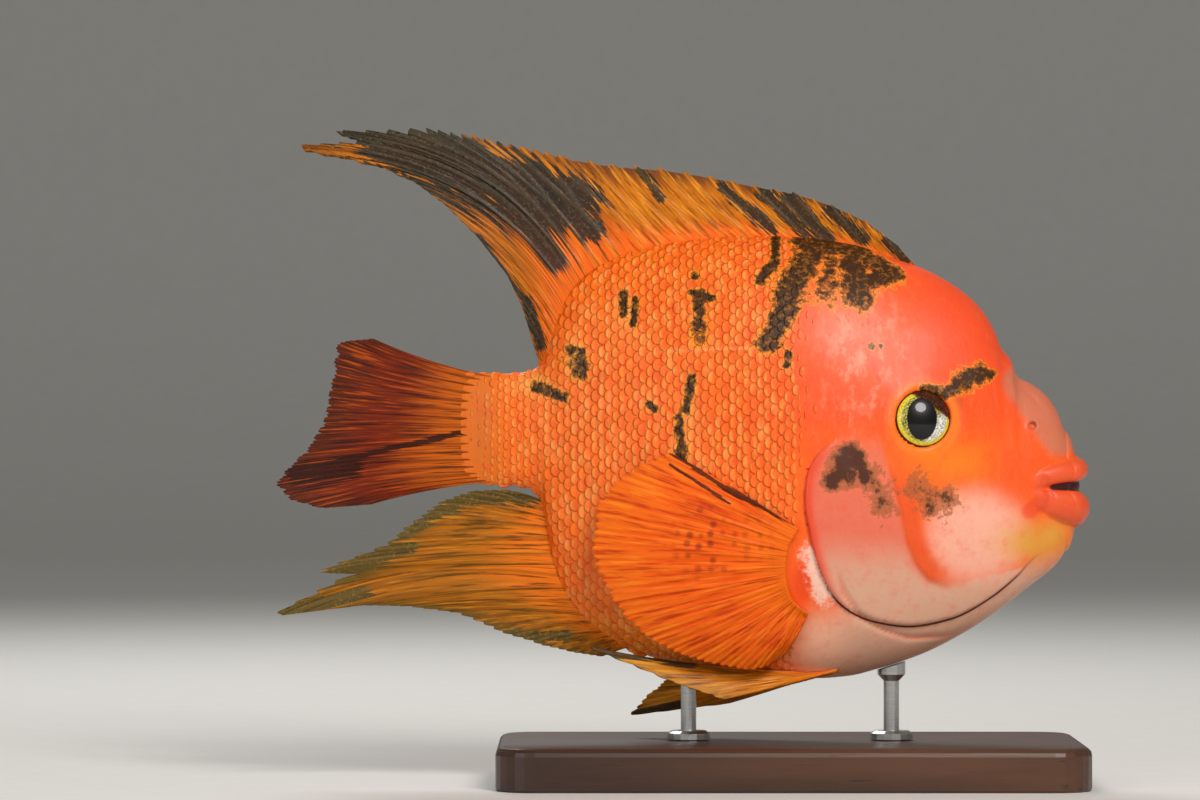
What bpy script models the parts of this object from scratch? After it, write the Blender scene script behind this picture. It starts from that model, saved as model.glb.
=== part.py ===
"""A blood parrot cichlid at life size, still, on a flat base with two short rods.

The fish looks along +X, its right side faces -Y and up is +Z. The origin is in the middle of the
base's underside. Sizes are in millimetres until a mesh is made, where MM turns them to metres.
Heights of the fish are measured from its long axis, which lies AXIS_HEIGHT above the floor, and
places along it from the point over the middle of the base, positive towards the snout.
"""
import math

import bmesh
import bpy
import numpy as np
from mathutils import Vector

MM = 0.001
GAP = 0.3
AXIS_HEIGHT = 90.5

# The outline from the side: place along the fish, then height, from the tail stalk to the snout.
BACK_LINE = (
    (-76.0, 14.5), (-71.0, 14.5), (-66.5, 15.2), (-64.0, 17.0), (-62.0, 22.0), (-59.0, 31.0),
    (-55.0, 37.5), (-48.5, 42.7), (-36.0, 47.2), (-23.0, 49.2), (-10.5, 50.0), (2.5, 49.6),
    (15.5, 47.8), (28.0, 43.6), (34.5, 41.2), (38.5, 39.2), (43.5, 36.0), (48.5, 31.5), (52.3, 25.5),
    (54.0, 21.2), (56.5, 18.0), (58.2, 13.8), (61.5, 12.0), (65.5, 9.0), (68.0, 5.5), (70.5, -0.5),
)
BELLY_LINE = (
    (-76.0, -14.0), (-71.0, -14.2), (-66.5, -15.2), (-64.0, -18.0), (-62.5, -24.5), (-61.0, -33.0),
    (-56.5, -44.0), (-48.5, -52.0), (-38.5, -57.0), (-23.0, -60.7), (-5.0, -63.0), (7.0, -63.6),
    (15.0, -63.0), (23.0, -61.0), (33.5, -57.5), (45.0, -51.7), (54.0, -45.7), (62.0, -39.5),
    (66.5, -36.0), (69.0, -33.4), (70.5, -31.0),
)
HALF_WIDTH = (
    (-76.0, 3.2), (-70.0, 3.7), (-63.0, 5.6), (-55.0, 9.2), (-45.0, 13.2), (-30.0, 18.2),
    (-10.0, 22.6), (8.0, 24.2), (22.0, 23.4), (33.0, 21.4), (45.0, 18.2), (55.0, 14.4),
    (62.0, 11.6), (67.0, 9.4), (70.5, 7.4),
)
SNOUT_END = 70.5
SNOUT_ROUNDING = 3.0
HEAD_END = 20.0
HEAD_LEAN = 9.5
STALK_START = -63.0
STALK_END = -76.0
COLUMNS = 36

# The eye, its ball and the ring of skin around it.
EYE_PLACE = (33.0, 3.0)
EYE_RADIUS = 7.0
EYEBALL_RADIUS = 7.8
EYEBALL_HALF_DEPTH = 4.6
ORBIT_RING_RADIUS = 7.9
ORBIT_RING_THICKNESS = 1.0

# The nostril, a small pit on each side of the snout.
NOSTRIL_PLACE = (61.5, 1.2)
NOSTRIL_RADIUS = 1.0
NOSTRIL_DEPTH = 1.3

# The mouth: two lips that follow one arch seen from above, and the opening between them.
MOUTH_ARCH_CENTRE = 61.5
MOUTH_ARCH_LENGTH = 11.4
MOUTH_ARCH_HALF_WIDTH = 8.6
MOUTH_OPENING_HEIGHT = -14.6
MOUTH_OPENING_HALF_SIZES = (8.0, 6.6, 2.6)
UPPER_LIP = {"front": -9.3, "corner": -13.1, "radius": 3.0, "corner_radius": 1.5}
LOWER_LIP = {"front": -20.4, "corner": -17.3, "radius": 3.7, "corner_radius": 1.7}

# The gill cover between the cheek's edge and its own free edge, from top to lower front.
CHEEK_EDGE = (
    (21.5, -3.0), (24.8, -12.0), (27.0, -20.5), (28.8, -28.0), (31.5, -34.0), (35.5, -39.0),
    (40.5, -42.5), (46.5, -45.4),
)
GILL_EDGE = (
    (14.0, -0.5), (5.5, -6.5), (3.0, -15.0), (4.5, -25.5), (9.0, -37.0), (16.5, -45.2),
    (30.0, -50.0), (47.0, -46.6),
)
GILL_THICKNESS = 1.8
GILL_RISE = 0.6

# The base and rods.
BASE_SIZE = (150.0, 80.0, 11.0)
BASE_CORNER = 10.0
BASE_BEVEL = 2.0
ROD_PLACES = {"stand_rod_front": 26.0, "stand_rod_rear": -26.0}
ROD_RADIUS = 2.0
ROD_FOOT_RADIUS = 5.5
ROD_FOOT_HEIGHT = 2.2
ROD_PAD_RADIUS = 3.6
ROD_PAD_HEIGHT = 2.4


def clear_scene():
    """Removes whatever the scene holds."""
    for obj in list(bpy.data.objects):
        bpy.data.objects.remove(obj)


def smooth_line(stations, place):
    """A cubic through the stations that never swings past them, read at each place."""
    table = np.array(stations, float)
    x, y = table[np.argsort(table[:, 0])].T
    step = np.diff(x)
    slope = np.diff(y) / step
    before, after = slope[:-1], slope[1:]
    weight_before = 2 * step[1:] + step[:-1]
    weight_after = step[1:] + 2 * step[:-1]
    same_way = before * after > 0
    safe_before = np.where(same_way, before, 1.0)
    safe_after = np.where(same_way, after, 1.0)
    middle = (weight_before + weight_after) / (weight_before / safe_before + weight_after / safe_after)
    tangent = np.concatenate([slope[:1], np.where(same_way, middle, 0.0), slope[-1:]])
    place = np.clip(np.asarray(place, float), x[0], x[-1])
    cell = np.clip(np.searchsorted(x, place) - 1, 0, len(x) - 2)
    h = step[cell]
    t = (place - x[cell]) / h
    return (
        y[cell] * (1 + 2 * t) * (1 - t) ** 2
        + tangent[cell] * h * t * (1 - t) ** 2
        + y[cell + 1] * t * t * (3 - 2 * t)
        + tangent[cell + 1] * h * t * t * (t - 1)
    )


def smooth_step(low, high, value):
    """Rises from 0 at low to 1 at high with no corner."""
    t = np.clip((value - low) / (high - low), 0.0, 1.0)
    return t * t * (3 - 2 * t)


def middle_height(x):
    return (smooth_line(BACK_LINE, x) + smooth_line(BELLY_LINE, x)) / 2


def half_height(x):
    return (smooth_line(BACK_LINE, x) - smooth_line(BELLY_LINE, x)) / 2


def roundness(x, up):
    """The power of the cosine in a cross-section: under 1 is full, over 1 comes to a ridge.

    The back under its fin and the keel over the anal fin are ridged, the forehead and chest full.
    """
    back_ridge = 0.34 * smooth_step(0.0, 1.0, up) * smooth_step(46.0, 16.0, x)
    keel = 0.34 * smooth_step(0.0, 1.0, -up) * smooth_step(-18.0, -46.0, x)
    return 0.88 + back_ridge + keel


def cheek_relief(x, z):
    """How far the side of the head stands out over its plain section, in millimetres."""
    edge = np.interp(z, *reversed(sorted_columns(CHEEK_EDGE)))
    cheek = smooth_step(-1.2, 1.2, x - edge) * smooth_step(-45.0, -38.0, z) * smooth_step(2.0, -8.0, z)
    orbit_distance = np.hypot(x - EYE_PLACE[0] - 1.5, z - EYE_PLACE[1] - 0.5)
    orbit = np.exp(-(((orbit_distance - 9.0) / 3.0) ** 2))
    muzzle = smooth_step(52.0, 60.0, x) * smooth_step(-28.0, -10.0, z) * smooth_step(9.0, -2.0, z)
    return 0.8 * cheek + 0.7 * orbit + 0.5 * muzzle


def sorted_columns(line):
    """The places and heights of a line as two arrays, sorted by height."""
    table = np.array(sorted(line, key=lambda point: point[1]), float)
    return table[:, 0], table[:, 1]


def half_width_at(x, z):
    """Half the width of the body at a place and height seen from the side."""
    up = np.clip((z - middle_height(x)) / half_height(x), -1.0, 1.0)
    cosine = np.sqrt(np.maximum(1 - up * up, 0.0))
    plain = smooth_line(HALF_WIDTH, x) * cosine ** roundness(x, up)
    return plain + cheek_relief(x, z) * np.clip(2 * cosine, 0.0, 1.0) * smooth_step(10.0, 30.0, x)


def underside_at(x, y):
    """The height of the underside of the body at a place and distance from its middle."""
    cosine = np.clip(np.abs(y) / smooth_line(HALF_WIDTH, x), 0.0, 1.0) ** (1 / roundness(x, -1.0))
    return middle_height(x) - half_height(x) * np.sqrt(1 - cosine * cosine)


def body_ring(x0, columns=COLUMNS):
    """One ring of the body: it leans forward at the nape and back at the throat."""
    angle = np.arange(columns) * 2 * math.pi / columns
    lean = np.interp(x0, (STALK_START, HEAD_END, SNOUT_END), (0.0, HEAD_LEAN, 0.0))
    x = np.clip(x0 + lean * np.sin(angle), STALK_END, SNOUT_END)
    z = middle_height(x) + half_height(x) * np.sin(angle)
    y = half_width_at(x, z) * np.sign(np.round(np.cos(angle), 9))
    return np.stack([x, y, z + AXIS_HEIGHT], axis=1)


def make_object(name, points, faces):
    """A mesh object from points in millimetres, its faces turned outwards."""
    mesh = bpy.data.meshes.new(name)
    mesh.from_pydata((np.asarray(points) * MM).tolist(), [], faces)
    work = bmesh.new()
    work.from_mesh(mesh)
    bmesh.ops.recalc_face_normals(work, faces=work.faces)
    if work.calc_volume(signed=True) < 0:
        bmesh.ops.reverse_faces(work, faces=work.faces)
    work.to_mesh(mesh)
    work.free()
    obj = bpy.data.objects.new(name, mesh)
    bpy.context.scene.collection.objects.link(obj)
    return obj


def tube_faces(rings, columns):
    """Quads between closed rings of equal length, and a fan to a centre point at each end."""
    faces = []
    for ring in range(rings - 1):
        for column in range(columns):
            after = (column + 1) % columns
            first, second = ring * columns, (ring + 1) * columns
            faces.append((first + column, first + after, second + after, second + column))
    first_centre = rings * columns
    last = (rings - 1) * columns
    for column in range(columns):
        after = (column + 1) % columns
        faces.append((first_centre, after, column))
        faces.append((first_centre + 1, last + column, last + after))
    return faces


def lofted(name, rings, first_centre, last_centre):
    """A closed body through rings of points, with a centre point at each end."""
    points = np.concatenate([*rings, [first_centre], [last_centre]])
    return make_object(name, points, tube_faces(len(rings), len(rings[0])))


def keep_largest(obj):
    """Leaves only the closed surface that has the most faces."""
    work = bmesh.new()
    work.from_mesh(obj.data)
    left = set(work.faces)
    pieces = []
    while left:
        front = [left.pop()]
        piece = set(front)
        while front:
            near = {other for edge in front.pop().edges for other in edge.link_faces}
            new = near & left
            left -= new
            piece |= new
            front.extend(new)
        pieces.append(piece)
    largest = max(pieces, key=len)
    loose = [face for piece in pieces if piece is not largest for face in piece]
    bmesh.ops.delete(work, geom=loose, context="FACES")
    work.to_mesh(obj.data)
    work.free()


def combine(obj, others, operation):
    """Joins the others to the object or cuts them out of it, applies that and removes them."""
    helpers = bpy.data.collections.new(f"{obj.name} helpers")
    bpy.context.scene.collection.children.link(helpers)
    for other in others:
        bpy.context.scene.collection.objects.unlink(other)
        helpers.objects.link(other)
    modifier = obj.modifiers.new(operation.lower(), "BOOLEAN")
    modifier.operation = operation
    modifier.operand_type = "COLLECTION"
    modifier.collection = helpers
    modifier.solver = "EXACT"
    graph = bpy.context.evaluated_depsgraph_get()
    mesh = bpy.data.meshes.new_from_object(obj.evaluated_get(graph))
    obj.modifiers.clear()
    obj.data = mesh
    for other in others:
        bpy.data.objects.remove(other)
    bpy.data.collections.remove(helpers)
    keep_largest(obj)


def finish(obj, colour, roughness_value, metallic=0.0, sharp_degrees=40.0):
    """Gives the object its material and smooth shading."""
    material = bpy.data.materials.new(obj.name)
    material.use_nodes = True
    shader = material.node_tree.nodes["Principled BSDF"]
    shader.inputs["Base Color"].default_value = (*colour, 1.0)
    shader.inputs["Roughness"].default_value = roughness_value
    shader.inputs["Metallic"].default_value = metallic
    obj.data.materials.clear()
    obj.data.materials.append(material)
    obj.data.shade_smooth()
    obj.data.set_sharp_from_angle(angle=math.radians(sharp_degrees))


def ball(name, centre, radius, half_depth, axis, around=16, rings=8):
    """A closed ball, flattened along its axis, with a pole at each end of it."""
    pole = np.asarray(axis, float)
    across = np.asarray(Vector(axis).orthogonal().normalized())
    other = np.cross(pole, across)
    polar = np.linspace(0, math.pi, rings + 1)[1:-1, None, None]
    angle = np.arange(around)[None, :, None] * 2 * math.pi / around
    ray = np.cos(angle) * across + np.sin(angle) * other
    circles = np.asarray(centre) + radius * np.sin(polar) * ray + half_depth * np.cos(polar) * pole
    first = np.asarray(centre) + half_depth * pole
    last = np.asarray(centre) - half_depth * pole
    return lofted(name, list(circles), first, last)


def eye_direction(side):
    """The way out of the head at the eye, from the slope of its side."""
    x, z = EYE_PLACE
    along = (half_width_at(x + 8.0, z) - half_width_at(x - 8.0, z)) / 16.0
    up = (half_width_at(x, z + 8.0) - half_width_at(x, z - 8.0)) / 16.0
    return Vector((-float(along), side, -float(up))).normalized()


def eye_centre(side, sunk=0.0):
    """A point under the skin over the eye, moved in by the depth it is sunk."""
    out = float(half_width_at(*map(np.asarray, EYE_PLACE)))
    surface = np.array((EYE_PLACE[0], side * out, EYE_PLACE[1] + AXIS_HEIGHT))
    return surface - sunk * np.asarray(eye_direction(side))


def eyeball(name, side, grow=0.0):
    """The ball sits deep enough that it leaves the head as a circle of EYE_RADIUS."""
    sunk = EYEBALL_HALF_DEPTH * math.sqrt(1 - (EYE_RADIUS / EYEBALL_RADIUS) ** 2) + 0.2
    centre = eye_centre(side, sunk)
    return ball(name, centre, EYEBALL_RADIUS + grow, EYEBALL_HALF_DEPTH + grow, eye_direction(side))


def nostril(side):
    """The ball that is cut out of the snout for a nostril."""
    x, z = NOSTRIL_PLACE
    out = side * float(half_width_at(np.asarray(x), np.asarray(z)))
    centre = (x, out, z + AXIS_HEIGHT)
    way = Vector((0.3, side, 0.35)).normalized()
    return ball("nostril place", centre, NOSTRIL_RADIUS, NOSTRIL_DEPTH, way, 10, 6)


def orbit_ring(side, around=24, sides=6):
    """The raised ring of skin around the eye."""
    out = eye_direction(side)
    across = out.orthogonal().normalized()
    other = out.cross(across)
    centre = eye_centre(side)
    rings = []
    for step in range(around):
        turn = 2 * math.pi * step / around
        ray = np.asarray(across) * math.cos(turn) + np.asarray(other) * math.sin(turn)
        angle = np.arange(sides)[:, None] * 2 * math.pi / sides
        radial = ORBIT_RING_RADIUS + ORBIT_RING_THICKNESS * np.cos(angle)
        outward = ORBIT_RING_THICKNESS * np.sin(angle)
        rings.append(centre + radial * ray + outward * np.asarray(out))
    points = np.concatenate(rings)
    faces = []
    for step in range(around):
        for column in range(sides):
            a, b = step * sides, (step + 1) % around * sides
            after = (column + 1) % sides
            faces.append((a + column, a + after, b + after, b + column))
    return make_object("orbit", points, faces)


def lip(name, shape, grow=0.0, along=16, sides=10):
    """A lip: a tube on the arch of the mouth, thick in front and thin at the corners."""
    rings = []
    reach = math.radians(82.0) + grow * 0.05
    for turn in np.linspace(-reach, reach, along):
        front = max(math.cos(turn), 0.0)
        radius = shape["corner_radius"] + (shape["radius"] - shape["corner_radius"]) * front**0.7 + grow
        height = shape["corner"] + (shape["front"] - shape["corner"]) * front**0.8
        arch = np.array((
            MOUTH_ARCH_CENTRE + MOUTH_ARCH_LENGTH * math.cos(turn),
            MOUTH_ARCH_HALF_WIDTH * math.sin(turn),
            height + AXIS_HEIGHT,
        ))
        out = np.array((math.cos(turn), math.sin(turn), 0.0))
        angle = np.arange(sides)[:, None] * 2 * math.pi / sides
        rings.append(arch + radius * (np.cos(angle) * out + np.sin(angle) * np.array((0.0, 0.0, 1.0))))
    ends = []
    for ring, neighbour in ((rings[0], rings[1]), (rings[-1], rings[-2])):
        away = ring.mean(axis=0) - neighbour.mean(axis=0)
        ends.append(ring.mean(axis=0) + 0.7 * away / np.linalg.norm(away))
    return lofted(name, rings, ends[0], ends[1])


def mouth_opening():
    """The hollow behind the lips."""
    centre = np.array((MOUTH_ARCH_CENTRE + MOUTH_ARCH_LENGTH, 0.0, MOUTH_OPENING_HEIGHT + AXIS_HEIGHT))
    opening = ball("mouth opening", (0.0, 0.0, 0.0), 1.0, 1.0, (0.0, 1.0, 0.0), 16, 8)
    for vertex in opening.data.vertices:
        sized = np.asarray(vertex.co) / MM * MOUTH_OPENING_HALF_SIZES
        vertex.co = (sized + centre) * MM
    return opening


def sheet_faces(rows, columns):
    """Two sheets of rows by columns points, split alike into triangles, and the strip that joins them."""
    faces = []
    count = rows * columns
    for row in range(rows - 1):
        for column in range(columns - 1):
            a = row * columns + column
            b, c, d = a + 1, a + columns + 1, a + columns
            faces += [(a, b, c), (a, c, d)]
            faces += [(count + c, count + b, count + a), (count + d, count + c, count + a)]
    edge = list(range(columns))
    edge += [row * columns + columns - 1 for row in range(1, rows)]
    edge += [(rows - 1) * columns + column for column in range(columns - 2, -1, -1)]
    edge += [row * columns for row in range(rows - 2, 0, -1)]
    for here, after in zip(edge, edge[1:] + edge[:1]):
        faces += [(after, here, count + here), (after, count + here, count + after)]
    return faces


def line_points(line, count):
    """Points spread evenly along a smooth curve through the given ones."""
    table = np.array(line, float)
    length = np.concatenate([[0.0], np.cumsum(np.hypot(*np.diff(table, axis=0).T))])
    place = np.linspace(0.0, length[-1], count)
    columns = [smooth_line(np.stack([length, table[:, axis]], axis=1), place) for axis in range(2)]
    return np.stack(columns, axis=1)


def gill_cover(name, side, grow=0.0, along=17, across=6):
    """The plate between the cheek's edge and the free edge; grow widens it to cut its place."""
    cheek = line_points(CHEEK_EDGE, along)
    free = line_points(GILL_EDGE, along)
    for line, way in ((cheek, 1.0), (free, -1.0)):
        tangent = np.gradient(line, axis=0)
        normal = np.stack([-tangent[:, 1], tangent[:, 0]], axis=1)
        line += way * grow * normal / np.linalg.norm(normal, axis=1)[:, None]
    tangent = free[0] - free[1]
    cheek[0] += grow * tangent / np.linalg.norm(tangent)
    free[0] += grow * tangent / np.linalg.norm(tangent)
    mix = np.linspace(0.0, 1.0, across)[:, None, None]
    flat = cheek[None] * (1 - mix) + free[None] * mix
    x, z = flat[..., 0], flat[..., 1]
    width = half_width_at(x, z)
    rise = GILL_RISE * smooth_step(0.0, 0.5, mix[..., 0] + 0 * x)
    if grow:
        rise = rise + 4.0
    outer = np.stack([x, side * (width + rise), z + AXIS_HEIGHT], axis=2)
    inner = np.stack([x, side * (width - GILL_THICKNESS - grow), z + AXIS_HEIGHT], axis=2)
    points = np.concatenate([outer.reshape(-1, 3), inner.reshape(-1, 3)])
    return make_object(name, points, sheet_faces(across, along))


HEAD_RINGS = np.linspace(HEAD_END, SNOUT_END, 21)
TRUNK_RINGS = np.concatenate([
    np.linspace(HEAD_END - GAP, -42.0, 14),
    np.linspace(-45.0, STALK_START, 9),
])
STALK_RINGS = np.linspace(STALK_START - GAP, STALK_END, 5)


def head_body():
    """The head from the nape to the snout, before its openings are cut."""
    rings = [body_ring(x0) for x0 in HEAD_RINGS]
    tip_height = float(middle_height(SNOUT_END)) + AXIS_HEIGHT
    tip = np.array((SNOUT_END + SNOUT_ROUNDING, 0.0, tip_height))
    snout_middle = np.array((SNOUT_END, 0.0, tip_height))
    for degrees in (28.0, 55.0, 75.0):
        turn = math.radians(degrees)
        ring = snout_middle + (rings[len(HEAD_RINGS) - 1] - snout_middle) * math.cos(turn)
        ring[:, 0] += SNOUT_ROUNDING * math.sin(turn)
        rings.append(ring)
    back_centre = (HEAD_END, 0.0, float(middle_height(HEAD_END)) + AXIS_HEIGHT)
    return lofted("head", rings, back_centre, tip)


def make_head():
    head = head_body()
    combine(head, [orbit_ring(side) for side in (-1, 1)], "UNION")
    cutters = [mouth_opening()]
    cutters += [lip(f"{shape_name} place", shape, GAP) for shape_name, shape in (
        ("upper", UPPER_LIP), ("lower", LOWER_LIP))]
    for side in (-1, 1):
        cutters.append(gill_cover("gill cover place", side, GAP))
        cutters.append(eyeball("eye place", side, GAP))
        cutters.append(nostril(side))
    for cutter in cutters:
        combine(head, [cutter], "DIFFERENCE")
    finish(head, (0.90, 0.20, 0.07), 0.45)


def make_trunk():
    rings = [body_ring(x0) for x0 in TRUNK_RINGS]
    ends = []
    for x0 in (TRUNK_RINGS[0], TRUNK_RINGS[-1]):
        ends.append((x0, 0.0, float(middle_height(x0)) + AXIS_HEIGHT))
    trunk = lofted("trunk", rings, *ends)
    for side in (-1, 1):
        combine(trunk, [gill_cover("gill cover place", side, GAP)], "DIFFERENCE")
    finish(trunk, (0.93, 0.21, 0.03), 0.45)


def make_tail_stalk():
    rings = [body_ring(x0) for x0 in STALK_RINGS]
    ends = []
    for x0 in (STALK_RINGS[0], STALK_RINGS[-1]):
        ends.append((x0, 0.0, float(middle_height(x0)) + AXIS_HEIGHT))
    stalk = lofted("tail_stalk", rings, *ends)
    finish(stalk, (0.93, 0.22, 0.02), 0.45)


def make_face_parts():
    """The lips, eyes and gill covers."""
    for name, shape in (("upper_lip", UPPER_LIP), ("lower_lip", LOWER_LIP)):
        finish(lip(name, shape), (0.82, 0.14, 0.05), 0.4, sharp_degrees=60.0)
    for word, side in (("right", -1), ("left", 1)):
        finish(eyeball(f"eye_{word}", side), (0.05, 0.045, 0.02), 0.12)
        finish(gill_cover(f"gill_cover_{word}", side), (0.87, 0.33, 0.22), 0.4)


# Each fin is read from pairs, evenly spread over its rays: where the ray starts, where it ends and
# how far it bows up, as a share of its length. Places and heights are in millimetres as above.
DORSAL_RAYS = (
    (33.5, (27.5, 47.5), -0.04), (28.0, (19.0, 54.0), -0.04), (20.5, (10.5, 58.0), -0.04),
    (13.0, (0.5, 61.3), -0.05), (5.0, (-9.5, 63.0), -0.05), (-5.0, (-21.0, 65.5), -0.05),
    (-16.0, (-34.0, 67.6), -0.05), (-27.0, (-46.0, 68.6), -0.04), (-37.0, (-58.0, 70.6), -0.011),
    (-44.0, (-70.5, 73.2), 0.047), (-49.5, (-83.0, 76.2), 0.12), (-52.6, (-95.0, 78.0), 0.182),
    (-54.4, (-118.0, 77.3), 0.262), (-55.6, (-109.1, 74.7), 0.257), (-56.8, (-128.1, 73.4), 0.262),
    (-57.9, (-108.1, 69.4), 0.233), (-58.9, (-97.5, 64.7), 0.181), (-59.9, (-89.6, 58.9), 0.131),
    (-61.0, (-80.9, 50.4), 0.1), (-62.0, (-72.8, 40.2), 0.051), (-62.8, (-68.9, 32.0), 0.039),
    (-63.6, (-66.6, 24.5), 0.023), (-64.2, (-65.3, 20.0), 0.0),
)
SPINY_SHARE = 8 / 22


def ridge_points(place, rings, top):
    """The back or belly line as the rings meet it, moved off it by the gap that meshes keep."""
    column = COLUMNS // 4 if top else 3 * COLUMNS // 4
    line = np.array(sorted((tuple(ring[column][[0, 2]]) for ring in rings)))
    line[:, 1] -= AXIS_HEIGHT
    height = np.interp(place, line[:, 0], line[:, 1])
    slope = (np.interp(place + 0.4, line[:, 0], line[:, 1])
             - np.interp(place - 0.4, line[:, 0], line[:, 1])) / 0.8
    way = 1.0 if top else -1.0
    away = way * np.stack([-slope, np.ones_like(slope)], axis=-1) / np.sqrt(1 + slope**2)[..., None]
    return np.stack([place, height], axis=-1) + away * (GAP + 0.05)


def read_pairs(pairs, share):
    """Start, end and bow of the ray at a share of the way through the pairs."""
    index = np.arange(len(pairs)) / (len(pairs) - 1)
    start = smooth_line(list(zip(index, [pair[0] for pair in pairs])), share)
    end_x = smooth_line(list(zip(index, [pair[1][0] for pair in pairs])), share)
    end_z = smooth_line(list(zip(index, [pair[1][1] for pair in pairs])), share)
    bow = smooth_line(list(zip(index, [pair[2] for pair in pairs])), share)
    return start, np.stack([end_x, end_z], axis=-1), bow


def fin_mesh(name, start, end, bow, rows, place_across, thickness, notch, way=(0.0, 1.0, 0.0)):
    """A fin as two sheets: odd columns are rays, even ones the web, cut back at the edge by notch.

    start and end hold a point for each column. place_across gives the sideways place of a point,
    thickness half the fin's thickness at each row for a ray and for the web, and way its direction.
    """
    columns = len(start)
    web = np.arange(columns) % 2 == 1
    neighbours = (np.roll(end, 1, axis=0) + np.roll(end, -1, axis=0)) / 2
    shorter = start + (neighbours - start) * (1 - notch)[:, None]
    end = np.where(web[:, None], shorter, end)
    chord = end - start
    aside = np.stack([-chord[:, 1], chord[:, 0]], axis=1)
    control = (start + end) / 2 - aside * bow[:, None]
    v = np.linspace(0.0, 1.0, rows)[:, None, None]
    flat = start * (1 - v) ** 2 + control * 2 * v * (1 - v) + end * v**2
    x, z = flat[..., 0], flat[..., 1]
    half = thickness(v[..., 0] + 0 * x, np.broadcast_to(web, x.shape))
    y = place_across(x, z, v[..., 0] + 0 * x, half)
    middle = np.stack([x, y, z + AXIS_HEIGHT], axis=2)
    aside = half[..., None] * np.array(way)
    points = np.concatenate([(middle - aside).reshape(-1, 3), (middle + aside).reshape(-1, 3)])
    return make_object(name, points, sheet_faces(rows, columns))


def median_thickness(root, ray, tip):
    """Half the thickness: thick at the root, then ray by ray, thin at the edge."""
    def read(v, web):
        blade = ray + (tip - ray) * v
        blade = np.where(web, 0.55 * blade, blade)
        return blade + (root - blade) * smooth_step(0.28, 0.0, v)
    return read


def make_dorsal(rings):
    """The dorsal fin in two lengths, the spines and the soft rays with the trailing tip."""
    for name, low, high, rays, rows, inset in (
        ("dorsal_fin_spiny", 0.0, SPINY_SHARE, 17, 6, (0.0, 1.0)),
        ("dorsal_fin_soft", SPINY_SHARE, 1.0, 15, 9, (-1.0, 0.0)),
    ):
        share = np.linspace(low, high, 2 * rays - 1)
        start_x, end, bow = read_pairs(DORSAL_RAYS, share)
        shift = np.linspace(inset[0], inset[1], len(share)) * GAP / 2
        start = ridge_points(start_x + shift, rings, True)
        end = end + np.stack([shift, 0 * shift], axis=1)
        notch = np.full(len(share), 0.10 if name == "dorsal_fin_spiny" else 0.02)
        sway = lambda x, z, v, half: 0.0006 * np.maximum(-x - 60.0, 0.0) ** 2
        fin = fin_mesh(name, start, end, bow, rows, sway, median_thickness(1.5, 0.62, 0.32), notch)
        finish(fin, (0.75, 0.27, 0.03), 0.5)


ANAL_RAYS = (
    (-41.0, (-48.5, -58.2), 0.03), (-45.0, (-56.0, -57.0), 0.051), (-48.5, (-64.5, -55.0), 0.062),
    (-51.5, (-75.0, -51.7), 0.062), (-54.0, (-86.0, -46.9), 0.05), (-56.5, (-99.0, -45.2), 0.039),
    (-58.3, (-111.0, -45.0), 0.051), (-59.6, (-135.0, -48.1), 0.159), (-60.6, (-114.0, -37.0), 0.042),
    (-61.3, (-123.0, -36.6), 0.051), (-61.9, (-105.0, -29.5), 0.039), (-62.4, (-96.0, -22.3), 0.04),
    (-62.9, (-89.5, -18.0), 0.051), (-63.3, (-82.0, -15.4), 0.049), (-63.9, (-73.0, -15.2), 0.06),
)


def make_anal(rings):
    rays, rows = len(ANAL_RAYS), 9
    share = np.linspace(0.0, 1.0, 2 * rays - 1)
    start_x, end, bow = read_pairs(ANAL_RAYS, share)
    start = ridge_points(start_x, rings, False)
    notch = np.full(len(share), 0.03)
    sway = lambda x, z, v, half: -0.0005 * np.maximum(-x - 62.0, 0.0) ** 2
    fin = fin_mesh("anal_fin", start, end, bow, rows, sway, median_thickness(1.4, 0.62, 0.32), notch)
    finish(fin, (0.72, 0.28, 0.03), 0.5)


CAUDAL_RAYS = (
    (13.6, (-108.0, 23.8), -0.06), (11.5, (-116.3, 22.6), -0.05), (8.8, (-117.6, 17.5), -0.04),
    (6.0, (-118.6, 11.0), -0.02), (3.0, (-119.6, 5.0), 0.0), (0.0, (-121.5, 0.0), 0.02),
    (-3.0, (-124.5, -5.0), 0.03), (-6.0, (-129.5, -9.5), 0.04), (-8.8, (-132.8, -13.5), 0.05),
    (-11.0, (-129.5, -18.2), 0.05), (-12.4, (-121.0, -20.3), 0.06), (-13.2, (-108.0, -19.2), 0.05),
)


def make_caudal():
    rays, rows = 17, 8
    share = np.linspace(0.0, 1.0, 2 * rays - 1)
    start_z, end, bow = read_pairs(CAUDAL_RAYS, share)
    start = np.stack([np.full_like(start_z, STALK_END - GAP), start_z], axis=1)
    notch = np.full(len(share), 0.04)
    sway = lambda x, z, v, half: 0.0022 * np.maximum(STALK_END - x, 0.0) ** 2
    fin = fin_mesh("caudal_fin", start, end, bow, rows, sway, median_thickness(2.2, 0.62, 0.32), notch)
    finish(fin, (0.42, 0.06, 0.01), 0.5)


PECTORAL_ROOT = ((1.5, -25.0), (-1.2, -30.0), (-1.8, -36.0), (-0.5, -42.0), (4.0, -46.5))
PECTORAL_TIPS = (
    (-32.0, -5.0), (-43.5, -11.5), (-50.0, -19.0), (-51.5, -28.5), (-48.5, -38.5), (-42.5, -48.0),
    (-34.0, -54.5), (-23.0, -58.8), (-10.0, -61.0), (-1.5, -57.0),
)


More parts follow.
